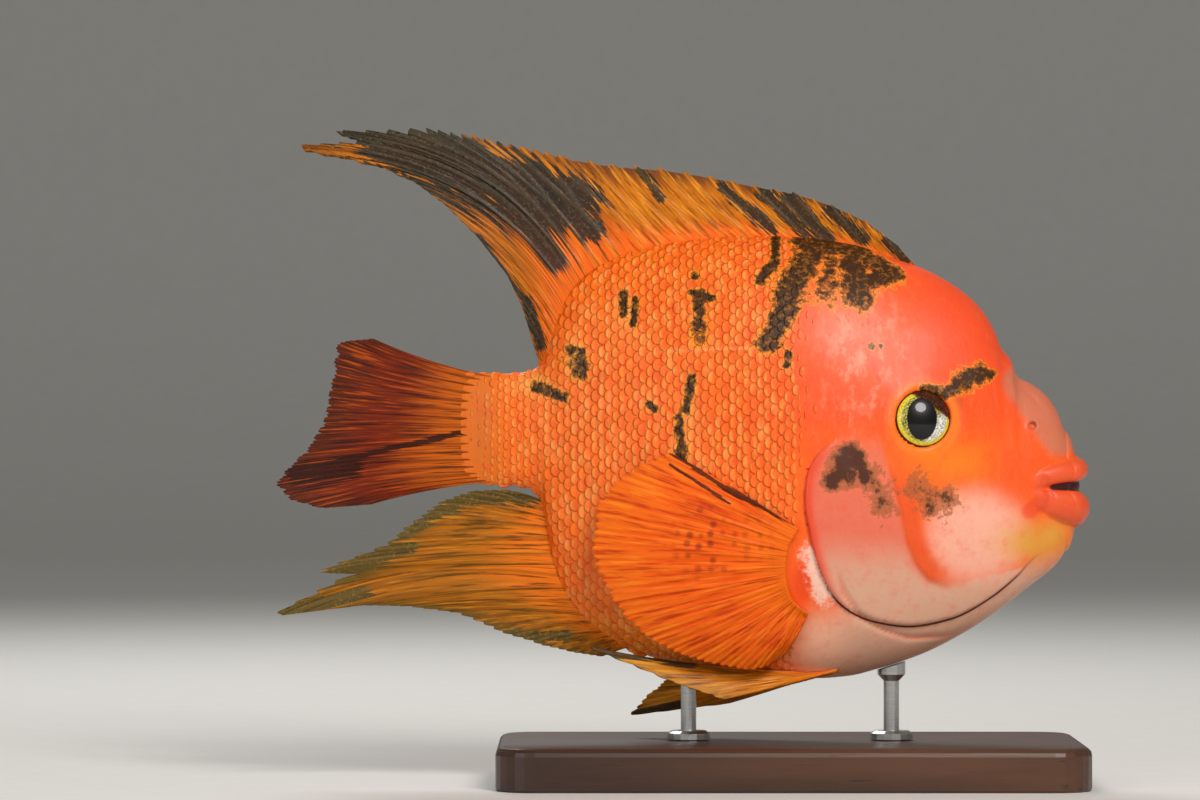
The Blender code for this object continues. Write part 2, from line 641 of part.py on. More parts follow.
def make_pectorals():
    """The paired fins behind the gill covers, spread over the flank."""
    rays, rows = 13, 7
    start = line_points(PECTORAL_ROOT, 2 * rays - 1)
    end = line_points(PECTORAL_TIPS, 2 * rays - 1)
    bow = np.linspace(0.03, -0.05, 2 * rays - 1)
    notch = np.full(len(start), 0.03)
    root_width = half_width_at(start[:, 0], start[:, 1])[None, :]
    for word, side in (("right", -1), ("left", 1)):
        def across(x, z, v, half, side=side):
            away = root_width + GAP + half - 4.0 * v * v
            clear = half_width_at(x, z) + GAP + 0.15 + half
            return side * np.maximum(away, clear)
        fin = fin_mesh(f"pectoral_fin_{word}", start, end, bow, rows, across,
                       median_thickness(1.0, 0.5, 0.28), notch)
        finish(fin, (0.85, 0.22, 0.02), 0.5)


# Each pelvic ray: where it starts, where it ends seen from the side, its bow, and how far from the
# middle of the fish it starts and ends.
PELVIC_RAYS = {
    "right": (
        (12.0, (-18.0, -68.6), -0.02, 8.0, 12.5), (10.5, (-31.0, -63.8), -0.03, 7.4, 12.5),
        (9.0, (-52.5, -55.0), -0.05, 6.8, 11.0), (7.5, (-41.0, -57.5), -0.04, 6.2, 8.5),
        (6.0, (-29.0, -60.6), -0.02, 5.6, 6.6), (4.5, (-16.0, -63.0), 0.0, 5.0, 5.2),
    ),
    "left": (
        (12.0, (-16.0, -71.0), -0.02, 8.0, 14.0), (10.5, (-41.5, -74.0), 0.02, 7.4, 15.0),
        (9.0, (-36.0, -68.0), 0.01, 6.8, 12.5), (7.5, (-32.0, -64.5), 0.0, 6.2, 9.5),
        (6.0, (-27.0, -63.2), 0.0, 5.6, 7.0), (4.5, (-16.0, -63.5), 0.0, 5.0, 5.2),
    ),
}
PELVIC_WAY = (0.0, 0.41, 0.91)
PELVIC_ROOT_DEPTH = 1.0


def make_pelvics():
    """The paired fins under the chest, folded back along the belly; the left one hangs lower."""
    rows = 9
    for word, side in (("right", -1), ("left", 1)):
        pairs = PELVIC_RAYS[word]
        share = np.linspace(0.0, 1.0, 2 * len(pairs) - 1)
        start_x, end, bow = read_pairs(pairs, share)
        index = np.arange(len(pairs)) / (len(pairs) - 1)
        root_out = np.interp(share, index, [pair[3] for pair in pairs])
        tip_out = np.interp(share, index, [pair[4] for pair in pairs])
        start_z = underside_at(start_x, root_out) - GAP - PELVIC_ROOT_DEPTH
        start = np.stack([start_x, start_z], axis=1)
        notch = np.full(len(share), 0.06)

        def across(x, z, v, half, side=side, root_out=root_out, tip_out=tip_out):
            return side * (root_out + (tip_out - root_out) * v)
        fin = fin_mesh(f"pelvic_fin_{word}", start, end, bow, rows, across,
                       median_thickness(0.7, 0.55, 0.3), notch, np.array(PELVIC_WAY) * (1, side, 1))
        finish(fin, (0.80, 0.38, 0.05), 0.5)


def rounded_rectangle(length, width, corner, steps=6):
    """The outline of a rectangle with round corners, as points in order."""
    points = []
    for quarter, (sx, sy) in enumerate(((1, 1), (-1, 1), (-1, -1), (1, -1))):
        for step in range(steps + 1):
            turn = math.pi / 2 * (quarter + step / steps)
            points.append((
                sx * (length / 2 - corner) + corner * math.cos(turn),
                sy * (width / 2 - corner) + corner * math.sin(turn),
            ))
    return np.array(points)


def make_stand_base():
    """A flat block with round corners and a rounded upper edge."""
    length, width, height = BASE_SIZE
    levels = [(0.0, 0.6), (0.6, 0.0), (height - BASE_BEVEL, 0.0)]
    for step in (1, 2, 3):
        turn = math.radians(30.0 * step)
        levels.append((height - BASE_BEVEL * (1 - math.sin(turn)), BASE_BEVEL * (1 - math.cos(turn))))
    rings = []
    for level, inset in levels:
        outline = rounded_rectangle(length - 2 * inset, width - 2 * inset, BASE_CORNER - inset)
        rings.append(np.column_stack([outline, np.full(len(outline), level)]))
    base = lofted("stand_base", rings, (0.0, 0.0, 0.0), (0.0, 0.0, height))
    finish(base, (0.09, 0.04, 0.02), 0.35, sharp_degrees=35.0)


def make_rods():
    """Each rod has a round foot on the base and a small pad whose top follows the belly."""
    sides = 16
    angle = np.arange(sides) * 2 * math.pi / sides
    circle = np.stack([np.cos(angle), np.sin(angle)], axis=1)
    floor = BASE_SIZE[2] + GAP
    for name, place in ROD_PLACES.items():
        belly = float(underside_at(place, 0.0)) + AXIS_HEIGHT - GAP
        steps = (
            (ROD_FOOT_RADIUS, floor), (ROD_FOOT_RADIUS, floor + 0.7 * ROD_FOOT_HEIGHT),
            (0.8 * ROD_FOOT_RADIUS, floor + ROD_FOOT_HEIGHT), (ROD_RADIUS, floor + ROD_FOOT_HEIGHT),
            (ROD_RADIUS, belly - 1.6 * ROD_PAD_HEIGHT), (ROD_PAD_RADIUS, belly - 0.9 * ROD_PAD_HEIGHT),
        )
        rings = []
        for radius, height in steps:
            rings.append(np.column_stack([circle * radius + (place, 0.0), np.full(sides, height)]))
        top = circle * ROD_PAD_RADIUS + (place, 0.0)
        under = underside_at(top[:, 0], 0.0) + AXIS_HEIGHT - GAP
        rings.append(np.column_stack([top, under]))
        rod = lofted(name, rings, (place, 0.0, floor), (place, 0.0, belly))
        finish(rod, (0.55, 0.55, 0.54), 0.3, metallic=1.0, sharp_degrees=35.0)


def main():
    clear_scene()
    trunk_rings = [body_ring(x0) for x0 in TRUNK_RINGS]
    stalk_rings = [body_ring(x0) for x0 in STALK_RINGS]
    head_rings = [body_ring(x0) for x0 in HEAD_RINGS]
    make_head()
    make_trunk()
    make_tail_stalk()
    make_face_parts()
    make_dorsal(stalk_rings + trunk_rings + head_rings)
    make_anal(stalk_rings + trunk_rings)
    make_caudal()
    make_pectorals()
    make_pelvics()
    make_stand_base()
    make_rods()


main()
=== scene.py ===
"""A blood parrot cichlid as a life-size display model, dressed over its solid frame.

The fish looks along +X, its right side faces -Y and up is +Z. Sizes are in millimetres until a mesh
is made. Places along the fish are measured from the middle of the base and heights from its axis.

The skin: half of its width at a place x and a height z is W(x) * (1 - u * u) ** (p / 2), with u the
height as a share of the way from the middle to the back or the belly, and p near 1. Small reliefs
are added to that: the ring round the eye, the step of the gill cover, folds, creases and lips.

A fin: ray number k leaves the body at a root point and bends along a parabola to its tip. The sheet
between is as thick as the distance to the nearest ray branch says, so rays stand out as ridges.

A scale: a round plate whose front end is sunk in the skin and whose rear end is raised over the next.
"""

import math

import bpy
import numpy as np
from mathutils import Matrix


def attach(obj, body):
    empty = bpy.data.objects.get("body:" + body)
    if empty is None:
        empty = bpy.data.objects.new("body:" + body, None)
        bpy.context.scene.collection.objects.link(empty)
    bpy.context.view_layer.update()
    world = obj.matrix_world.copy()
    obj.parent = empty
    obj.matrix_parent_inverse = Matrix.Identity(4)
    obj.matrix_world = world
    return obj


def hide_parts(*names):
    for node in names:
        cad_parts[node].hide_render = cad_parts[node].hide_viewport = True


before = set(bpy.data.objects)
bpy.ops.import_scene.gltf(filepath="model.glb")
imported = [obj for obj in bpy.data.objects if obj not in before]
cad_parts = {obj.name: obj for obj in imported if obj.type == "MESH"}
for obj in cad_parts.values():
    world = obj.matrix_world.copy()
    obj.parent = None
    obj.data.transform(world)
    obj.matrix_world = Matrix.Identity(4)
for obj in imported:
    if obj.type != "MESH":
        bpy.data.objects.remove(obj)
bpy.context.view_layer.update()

# %% [markdown]
# The outline of the fish is a short list of places and heights, as a draughtsman would set them out
# along the back and the belly. A curve that never swings past its points runs through them, so the
# steep drop behind the soft dorsal fin stays a clean drop.

# %% The outline of the fish, in millimetres
MM = 0.001
SIDES = (("right", -1), ("left", 1))
AXIS_HEIGHT = 90.5
BACK_LINE = (
    (-84.5, 14.6), (-80.0, 14.5), (-76.0, 14.4), (-71.0, 14.5),
    (-66.5, 15.2), (-64.0, 17.0), (-62.0, 22.0), (-59.0, 31.0),
    (-55.0, 37.5), (-48.5, 42.7), (-36.0, 47.2), (-23.0, 49.2), (-10.5, 50.0), (2.5, 49.6),
    (15.5, 47.8), (28.0, 43.6), (34.5, 41.2), (38.5, 39.2), (43.5, 36.0), (48.5, 31.5), (52.3, 25.5),
    (54.0, 21.2), (56.5, 18.0), (58.2, 13.8), (61.5, 12.0), (65.5, 9.0), (68.0, 5.5), (70.5, -0.5),
)
BELLY_LINE = (
    (-84.5, -13.6), (-80.0, -13.7), (-76.0, -14.0), (-71.0, -14.2),
    (-66.5, -15.2), (-64.0, -18.0), (-62.5, -24.5), (-61.0, -33.0),
    (-56.5, -44.0), (-48.5, -52.0), (-38.5, -57.0), (-23.0, -60.7), (-5.0, -63.0), (7.0, -63.6),
    (15.0, -63.0), (23.0, -61.0), (33.5, -57.5), (45.0, -51.7), (54.0, -45.7), (62.0, -39.5),
    (66.5, -36.0), (69.0, -33.4), (70.5, -31.0),
)
HALF_WIDTH = (
    (-84.5, 0.15), (-81.5, 0.75), (-78.5, 1.9), (-76.0, 2.8),
    (-70.0, 3.7), (-63.0, 5.6), (-55.0, 9.2), (-45.0, 13.2), (-30.0, 18.2),
    (-10.0, 22.6), (8.0, 24.2), (22.0, 23.4), (33.0, 21.4), (45.0, 18.2), (55.0, 14.4),
    (62.0, 11.6), (67.0, 9.4), (70.5, 7.4),
)
STALK_END, TAIL_ROOT, STALK_START, HEAD_END, SNOUT_END = -84.5, -75.5, -63.0, 20.0, 70.5
SNOUT_ROUNDING, HEAD_LEAN = 3.0, 9.5


def smooth_line(stations, place):
    """A cubic through the stations that never swings past them, read at each place."""
    table = np.array(stations, float)
    x, y = table[np.argsort(table[:, 0])].T
    step = np.diff(x)
    slope = np.diff(y) / step
    before, after = slope[:-1], slope[1:]
    weight_before = 2 * step[1:] + step[:-1]
    weight_after = step[1:] + 2 * step[:-1]
    same_way = before * after > 0
    safe_before = np.where(same_way, before, 1.0)
    safe_after = np.where(same_way, after, 1.0)
    middle = (weight_before + weight_after) / (weight_before / safe_before + weight_after / safe_after)
    tangent = np.concatenate([slope[:1], np.where(same_way, middle, 0.0), slope[-1:]])
    place = np.clip(np.asarray(place, float), x[0], x[-1])
    cell = np.clip(np.searchsorted(x, place) - 1, 0, len(x) - 2)
    h = step[cell]
    t = (place - x[cell]) / h
    return (
        y[cell] * (1 + 2 * t) * (1 - t) ** 2
        + tangent[cell] * h * t * (1 - t) ** 2
        + y[cell + 1] * t * t * (3 - 2 * t)
        + tangent[cell + 1] * h * t * t * (t - 1)
    )


def smooth_step(low, high, value):
    """Rises from 0 at low to 1 at high with no corner."""
    t = np.clip((value - low) / (high - low), 0.0, 1.0)
    return t * t * (3 - 2 * t)


def bump(value, centre, width):
    """A bell: 1 at the centre, falling to a third at the width on either side."""
    return np.exp(-(((value - centre) / width) ** 2))


def middle_height(x):
    """The height half way between the belly and the back."""
    return (smooth_line(BACK_LINE, x) + smooth_line(BELLY_LINE, x)) / 2


def half_height(x):
    """Half the distance from the belly to the back."""
    return (smooth_line(BACK_LINE, x) - smooth_line(BELLY_LINE, x)) / 2


print("outline:", len(BACK_LINE), "back and", len(BELLY_LINE), "belly stations")

# %% [markdown]
# The head's landmarks are lines and circles seen from the side. The gill cover ends in a free edge
# that curves down and forward under the cheek, and the preopercle is the bent ridge on the cheek in
# front of it. The distance to such a line, with a sign for its two sides, is all a relief needs.

# %% Landmarks of the head
EYE_PLACE = (33.0, 3.0)
EYE_RADIUS, EYEBALL_RADIUS, EYEBALL_HALF_DEPTH = 7.0, 7.8, 4.6
SOCKET_DEPTH = 5.2
NOSTRIL_PLACE = (61.5, 1.2)
GILL_EDGE = (
    (12.5, -1.3), (9.0, -3.5), (5.5, -7.0), (3.4, -12.0), (3.0, -18.0), (4.3, -26.0),
    (6.4, -34.0), (9.5, -40.5), (14.5, -45.5), (21.0, -48.3), (30.0, -49.6), (40.5, -47.8),
    (50.0, -43.0), (57.5, -37.0), (62.0, -32.5), (65.5, -31.0),
)
THROAT_FOLD = (
    (10.8, -33.3), (12.8, -41.0), (17.0, -46.7), (23.0, -50.5), (29.5, -52.8), (38.0, -52.6),
    (45.0, -51.3),
)
PREOPERCLE = (
    (23.0, -5.0), (25.5, -13.0), (27.4, -20.5), (29.0, -28.2), (31.3, -33.8), (34.6, -37.9),
    (39.0, -39.5), (43.0, -38.6),
)
LIP_FOLD = ((62.8, -10.2), (65.4, -16.5), (64.1, -23.0))


def line_distance(line, x, z):
    """The distance to a line of points, with its sign, and the share of the way along it."""
    table = np.array(line, float)
    start, step = table[:-1], np.diff(table, axis=0)
    length = np.hypot(step[:, 0], step[:, 1])
    best = np.full(np.shape(x), 1e9)
    side = np.zeros(np.shape(x))
    share = np.zeros(np.shape(x))
    for k in range(len(step)):
        dx, dz = x - start[k, 0], z - start[k, 1]
        t = np.clip((dx * step[k, 0] + dz * step[k, 1]) / length[k] ** 2, 0.0, 1.0)
        away = np.hypot(dx - t * step[k, 0], dz - t * step[k, 1])
        nearer = away < best
        cross = step[k, 0] * dz - step[k, 1] * dx
        best = np.where(nearer, away, best)
        side = np.where(nearer, np.sign(cross), side)
        share = np.where(nearer, (length[:k].sum() + t * length[k]) / length.sum(), share)
    return best * side, share


def finer(line, count):
    """The same line as a smooth curve of more points."""
    table = np.array(line, float)
    length = np.concatenate([[0.0], np.cumsum(np.hypot(*np.diff(table, axis=0).T))])
    place = np.linspace(0.0, length[-1], count)
    columns = [smooth_line(np.stack([length, table[:, axis]], axis=1), place) for axis in range(2)]
    return np.stack(columns, axis=1)


GILL_CURVE = finer(GILL_EDGE, 60)
print("gill edge runs", round(float(np.hypot(*np.diff(GILL_CURVE, axis=0).T).sum())), "mm")

# %% [markdown]
# A cross-section of the fish is fuller than an ellipse on the head and chest, and comes to a ridge
# under the dorsal fin and over the anal fin. Over that plain form lie the reliefs that a sculptor
# would add in a second pass: cheek, muzzle, gill cover, folds of the throat and forehead creases.

# %% The width of the body, plain and in relief
def roundness(x, up):
    """The power of the cosine in a cross-section: under 1 is full, over 1 comes to a ridge."""
    back_ridge = 0.34 * smooth_step(0.0, 1.0, up) * smooth_step(46.0, 16.0, x)
    keel = 0.34 * smooth_step(0.0, 1.0, -up) * smooth_step(-18.0, -46.0, x)
    return 0.88 + back_ridge + keel


def plain_width(x, z):
    """Half the width with no relief, and the cosine that fades reliefs out at back and belly."""
    up = np.clip((z - middle_height(x)) / half_height(x), -1.0, 1.0)
    cosine = np.sqrt(np.maximum(1 - up * up, 0.0))
    return smooth_line(HALF_WIDTH, x) * cosine ** roundness(x, up), cosine


def eye_distance(x, z):
    """The distance from the middle of the eye, seen from the side."""
    return np.hypot(x - EYE_PLACE[0], z - EYE_PLACE[1])


def gill_relief(x, z):
    """The cover stands proud inside its free edge, with a narrow groove just outside it."""
    away, share = line_distance(GILL_CURVE, x, z)
    strength = smooth_step(0.0, 0.06, share) * smooth_step(1.0, 0.9, share)
    inside = smooth_step(-0.12, 0.12, away) * np.exp(-np.maximum(away, 0.0) / 9.0)
    outside = smooth_step(0.12, -0.12, away) * np.exp(-np.maximum(-away, 0.0) / 1.6)
    near = (np.abs(away) < 25.0) * strength
    return near * (0.95 * inside - 0.55 * outside)


def relief(x, z):
    """How far the skin stands out over the plain section, in millimetres."""
    round_eye = eye_distance(x - 0.8, z)
    total = 0.7 * bump(round_eye, 9.4, 3.0) + 0.35 * bump(eye_distance(x, z), 7.7, 0.8)
    total += 0.5 * smooth_step(52.0, 60.0, x) * smooth_step(-28.0, -10.0, z) * smooth_step(9.0, -2.0, z)
    away, share = line_distance(PREOPERCLE, x, z)
    ends = smooth_step(0.0, 0.2, share) * smooth_step(1.0, 0.8, share)
    total += ends * (0.55 * smooth_step(-0.6, 0.6, away) * np.exp(-np.maximum(away, 0.0) / 6.0)
                     - 0.2 * bump(away, -0.6, 0.7)) * (np.abs(away) < 20.0)
    away, share = line_distance(THROAT_FOLD, x, z)
    total -= 0.75 * bump(away, 0.0, 0.7) * smooth_step(0.0, 0.2, share) * smooth_step(1.0, 0.8, share)
    away, share = line_distance(LIP_FOLD, x, z)
    total -= 0.7 * bump(away, 0.0, 0.9) * smooth_step(0.0, 0.25, share) * smooth_step(1.0, 0.75, share)
    for cx, cz, tilt in ((53.0, 21.0, 0.9), (57.3, 13.0, 0.75)):
        across = (x - cx) * math.cos(tilt) + (z - cz) * math.sin(tilt)
        total -= 0.45 * bump(across, 0.0, 0.9) * bump(z, cz - 2.0, 5.0)
    nostril = np.hypot(x - NOSTRIL_PLACE[0], z - NOSTRIL_PLACE[1])
    total += 0.25 * bump(nostril, 1.5, 0.5) - 1.5 * smooth_step(1.15, 0.7, nostril)
    return total + gill_relief(x, z)


def half_width_at(x, z):
    """Half the width of the skin at a place and height seen from the side."""
    plain, cosine = plain_width(x, z)
    return plain + relief(x, z) * np.clip(2 * cosine, 0.0, 1.0)


print("half width at the gill cover:", round(float(half_width_at(10.0, -20.0)), 1), "mm")

# %% [markdown]
# The skin is one net of rings from the tail stalk to the snout, fine on the head and coarser on the
# flank. Near the eye's rim and the gill edge the net's points are drawn onto those lines before the
# relief is read, as a modeller would lay loops along them, so both edges come out clean.

# %% The net of the skin
SKIN_COLUMNS = 300
SKIN_RINGS = np.concatenate([
    np.linspace(STALK_END, -64.0, 30), np.linspace(-63.2, 2.0, 78)[:-1], np.linspace(2.0, SNOUT_END, 190),
])
CAP_TURNS = np.radians(np.concatenate([np.linspace(3.0, 60.0, 18), np.linspace(62.0, 88.5, 18)]))


def drawn_to(distance, reach, keep=0.22):
    """A distance with the values near nothing pressed together, the rest left alone."""
    return distance * (keep + (1 - keep) * smooth_step(0.0, 1.0, np.abs(distance) / reach))


def gather(x, z):
    """Points seen from the side, moved onto the eye's rim and the gill edge where they are near."""
    away = eye_distance(x, z)
    pulled = EYE_RADIUS + drawn_to(away - EYE_RADIUS, 1.5)
    scale = np.where(away > 1.0, pulled / np.maximum(away, 1.0), 1.0)
    x, z = EYE_PLACE[0] + (x - EYE_PLACE[0]) * scale, EYE_PLACE[1] + (z - EYE_PLACE[1]) * scale
    away, share = line_distance(GILL_CURVE, x, z)
    step = 0.05
    slope_x = (line_distance(GILL_CURVE, x + step, z)[0] - away) / step
    slope_z = (line_distance(GILL_CURVE, x, z + step)[0] - away) / step
    steep = np.maximum(np.hypot(slope_x, slope_z), 0.5)
    strength = smooth_step(0.0, 0.05, share) * smooth_step(1.0, 0.9, share) * (np.abs(away) < 1.2)
    shift = (drawn_to(away, 1.2) - away) * strength
    inner = smooth_step(1.0, 0.94, np.abs((z - middle_height(x)) / half_height(x)))
    return x + shift * inner * slope_x / steep, z + shift * inner * slope_z / steep


def skin_rings():
    """Rings of points, an array of ring, column and coordinate, before the mouth and the eyes."""
    turn = np.arange(SKIN_COLUMNS) * 2 * math.pi / SKIN_COLUMNS
    angle = turn - 0.11 * np.sin(2 * turn)
    x0 = SKIN_RINGS[:, None]
    lean = np.interp(x0, (STALK_START, HEAD_END, SNOUT_END), (0.0, HEAD_LEAN, 0.0))
    x = np.clip(x0 + lean * np.sin(angle), STALK_END, SNOUT_END)
    z = middle_height(x) + half_height(x) * np.sin(angle)
    ridge = np.abs(np.cos(angle)) < 1e-6
    gx, gz = gather(x, z)
    x, z = np.where(ridge, x, gx), np.where(ridge, z, gz)
    y = half_width_at(x, z) * np.where(ridge, 0.0, np.sign(np.cos(angle)))
    return np.stack([x, y, z], axis=2)


def with_caps(rings):
    """The snout's round end and the closed wedge of the tail stalk added to the rings."""
    tip_height = float(middle_height(SNOUT_END))
    last = rings[-1] - (SNOUT_END, 0.0, tip_height)
    cap = last[None] * np.cos(CAP_TURNS)[:, None, None]
    cap[..., 0] = SNOUT_ROUNDING * np.sin(CAP_TURNS)[:, None]
    first = rings[0] - (STALK_END, 0.0, float(middle_height(STALK_END)))
    shrink = np.array([0.10, 0.45, 0.70, 0.90])
    wedge = first[None] * (shrink[:, None, None] ** np.array([1.0, 1.0, 0.02]))
    wedge[..., 0] = -np.array([0.8, 0.6, 0.4, 0.2])[:, None]
    back = wedge + (STALK_END, 0.0, float(middle_height(STALK_END)))
    return np.concatenate([back, rings, cap + (SNOUT_END, 0.0, tip_height)])


skin_points = with_caps(skin_rings())
print("skin net:", skin_points.shape[0], "rings of", skin_points.shape[1])

# %% [markdown]
# The mouth of this fish hardly closes. Its lips are two thick rolls that wrap the snout from corner
# to corner, with a dark gap between. Seen from a post that stands inside the snout, lips and gap are
# only longer and shorter rays, so both are added to the radius about that post.

# %% Lips and mouth opening
POST = (60.0, 0.0)
UPPER_LIP = {"front": -9.9, "corner": -13.2, "half": 3.2, "corner_half": 1.9, "rise": 3.1}
LOWER_LIP = {"front": -20.2, "corner": -17.0, "half": 4.6, "corner_half": 2.1, "rise": 3.4}
LIP_REACH = math.radians(80.0)


def lip_height(lip, turn):
    """Middle height and half thickness of a lip at an angle from straight ahead."""
    front = np.cos(np.clip(turn / LIP_REACH, -1.0, 1.0) * math.pi / 2)
    middle = lip["corner"] + (lip["front"] - lip["corner"]) * front**0.8
    half = lip["corner_half"] + (lip["half"] - lip["corner_half"]) * front**0.7
    return middle, half, front


def mouth_relief(x, y, z):
    """How far the lips stand out and the gap goes in, and how much of each there is."""
    turn = np.arctan2(np.abs(y), x - POST[0])
    fade = smooth_step(1.18, 0.85, turn / LIP_REACH)
    out = np.zeros_like(x)
    lips = np.zeros_like(x)
    for lip in (UPPER_LIP, LOWER_LIP):
        middle, half, front = lip_height(lip, turn)
        across = np.clip(1 - ((z - middle) / half) ** 2, 0.0, 1.0)
        out = np.maximum(out, fade * (0.7 + (lip["rise"] - 0.7) * front**1.4) * across**0.6)
        lips = np.maximum(lips, fade * smooth_step(0.0, 0.35, across))
    top = lip_height(UPPER_LIP, turn)
    bottom = lip_height(LOWER_LIP, turn)
    high, low = top[0] - 0.82 * top[1], bottom[0] + 0.94 * bottom[1]
    half_gap = np.maximum((high - low) / 2, 0.12)
    across = np.clip(1 - ((z - (high + low) / 2) / half_gap) ** 2, 0.0, 1.0)
    gap = fade * smooth_step(0.84, 0.66, turn / LIP_REACH) * across**0.5
    return out * (1 - gap) - (1.0 - 1.7 * top[2]) * gap, lips * (1 - gap), gap


def shape_mouth(points):
    """Moves the snout's points out into lips and in into the gap, away from the post."""
    x, y, z = points[..., 0], points[..., 1], points[..., 2]
    front = smooth_step(POST[0] + 0.3, POST[0] + 2.5, x)
    out, lips, gap = mouth_relief(x, y, z)
    radius = np.maximum(np.hypot(x - POST[0], y - POST[1]), 1e-6)
    push = out * front / radius
    moved = np.stack([x + (x - POST[0]) * push, y + y * push, z], axis=-1)
    return moved, lips * front, gap * front


skin_points, lip_share, mouth_shadow_share = shape_mouth(skin_points)
print("lips reach", round(float(skin_points[..., 0].max()), 1), "mm")

# %% [markdown]
# Each eye sits in a socket: inside the rim the skin is pushed straight in along the eye's own axis,
# deep enough to pass behind the ball. The same axis serves the ball later.

# %% Eye sockets
def eye_direction(side):
    """The way out of the head at the eye, from the slope of its side."""
    x, z = EYE_PLACE
    along = (plain_width(x + 8.0, z)[0] - plain_width(x - 8.0, z)[0]) / 16.0
    up = (plain_width(x, z + 8.0)[0] - plain_width(x, z - 8.0)[0]) / 16.0
    way = np.array((-float(along), side, -float(up)))
    return way / np.linalg.norm(way)


def sink_sockets(points):
    """Pushes the skin inside each eye's rim straight in along that eye's axis."""
    away = eye_distance(points[..., 0], points[..., 2])
    depth = SOCKET_DEPTH * smooth_step(EYE_RADIUS + 0.12, EYE_RADIUS - 0.25, away)
    for side in (-1, 1):
        here = depth * (points[..., 1] * side > 0)
        points = points - here[..., None] * eye_direction(side)
    return points


skin_places = skin_points.copy()
skin_points = sink_sockets(skin_points)
print("eye looks along", eye_direction(-1).round(2))

# %% [markdown]
# Colours are named once, as they read on the lit fish, and turned to linear light by one function.
# Where each colour lies is told by anatomy: a mask for the flank, the cheek, the throat and so on,
# each a smooth field of place and height. The skin and its scales read the same function.

# %% Colours of the skin
def linear(code, alpha=1.0):
    """An sRGB hex code as linear red, green, blue and alpha."""
    values = [int(code[k:k + 2], 16) / 255 for k in (1, 3, 5)]
    return (*[v / 12.92 if v <= 0.04045 else ((v + 0.055) / 1.055) ** 2.4 for v in values], alpha)


PALETTE = {
    "flank": "#fc640e", "coral": "#f8501c", "back": "#fa6a0c", "keel": "#e07c10",
    "stalk": "#f86e06", "root": "#da6c08", "forehead": "#ee4e22", "nape": "#f6886a",
    "face": "#f65e14", "cheek": "#f8b096",
    "opercle": "#e66e52", "rim": "#ec3c10", "preopercle": "#ec5418", "throat": "#dca88c",
    "chest": "#ffbc9a", "chin": "#e0a038", "under_eye": "#f88012", "snout": "#f2561a",
    # mouth is painted shade: the dark inside of the open mouth, laid on the gap between the lips.
    "lip": "#e4542c", "mouth": "#3a0803", "pale": "#c67658", "tuft": "#f8d0bc", "shade": "#b8480c",
    # fold is painted shadow: the dark line under the lower gill cover's free edge.
    "straw": "#efb45c", "line": "#ffb070", "fold": "#5a2414", "brown": "#221404", "gold": "#7c4c10",
}


def spot(x, z, cx, cz, rx, rz, power=2.0):
    """A soft oval mask, 1 in the middle."""
    return np.exp(-(np.hypot((x - cx) / rx, (z - cz) / rz) ** power))


def along(x, z, x1, z1, x2, z2, radius):
    """A mask along a straight stroke, 1 in its middle and 0 from its radius on."""
    length = math.hypot(x2 - x1, z2 - z1)
    t = np.clip(((x - x1) * (x2 - x1) + (z - z1) * (z2 - z1)) / length**2, 0.0, 1.0)
    return smooth_step(1.15, 0.6, np.hypot(x - x1 - t * (x2 - x1), z - z1 - t * (z2 - z1)) / radius)


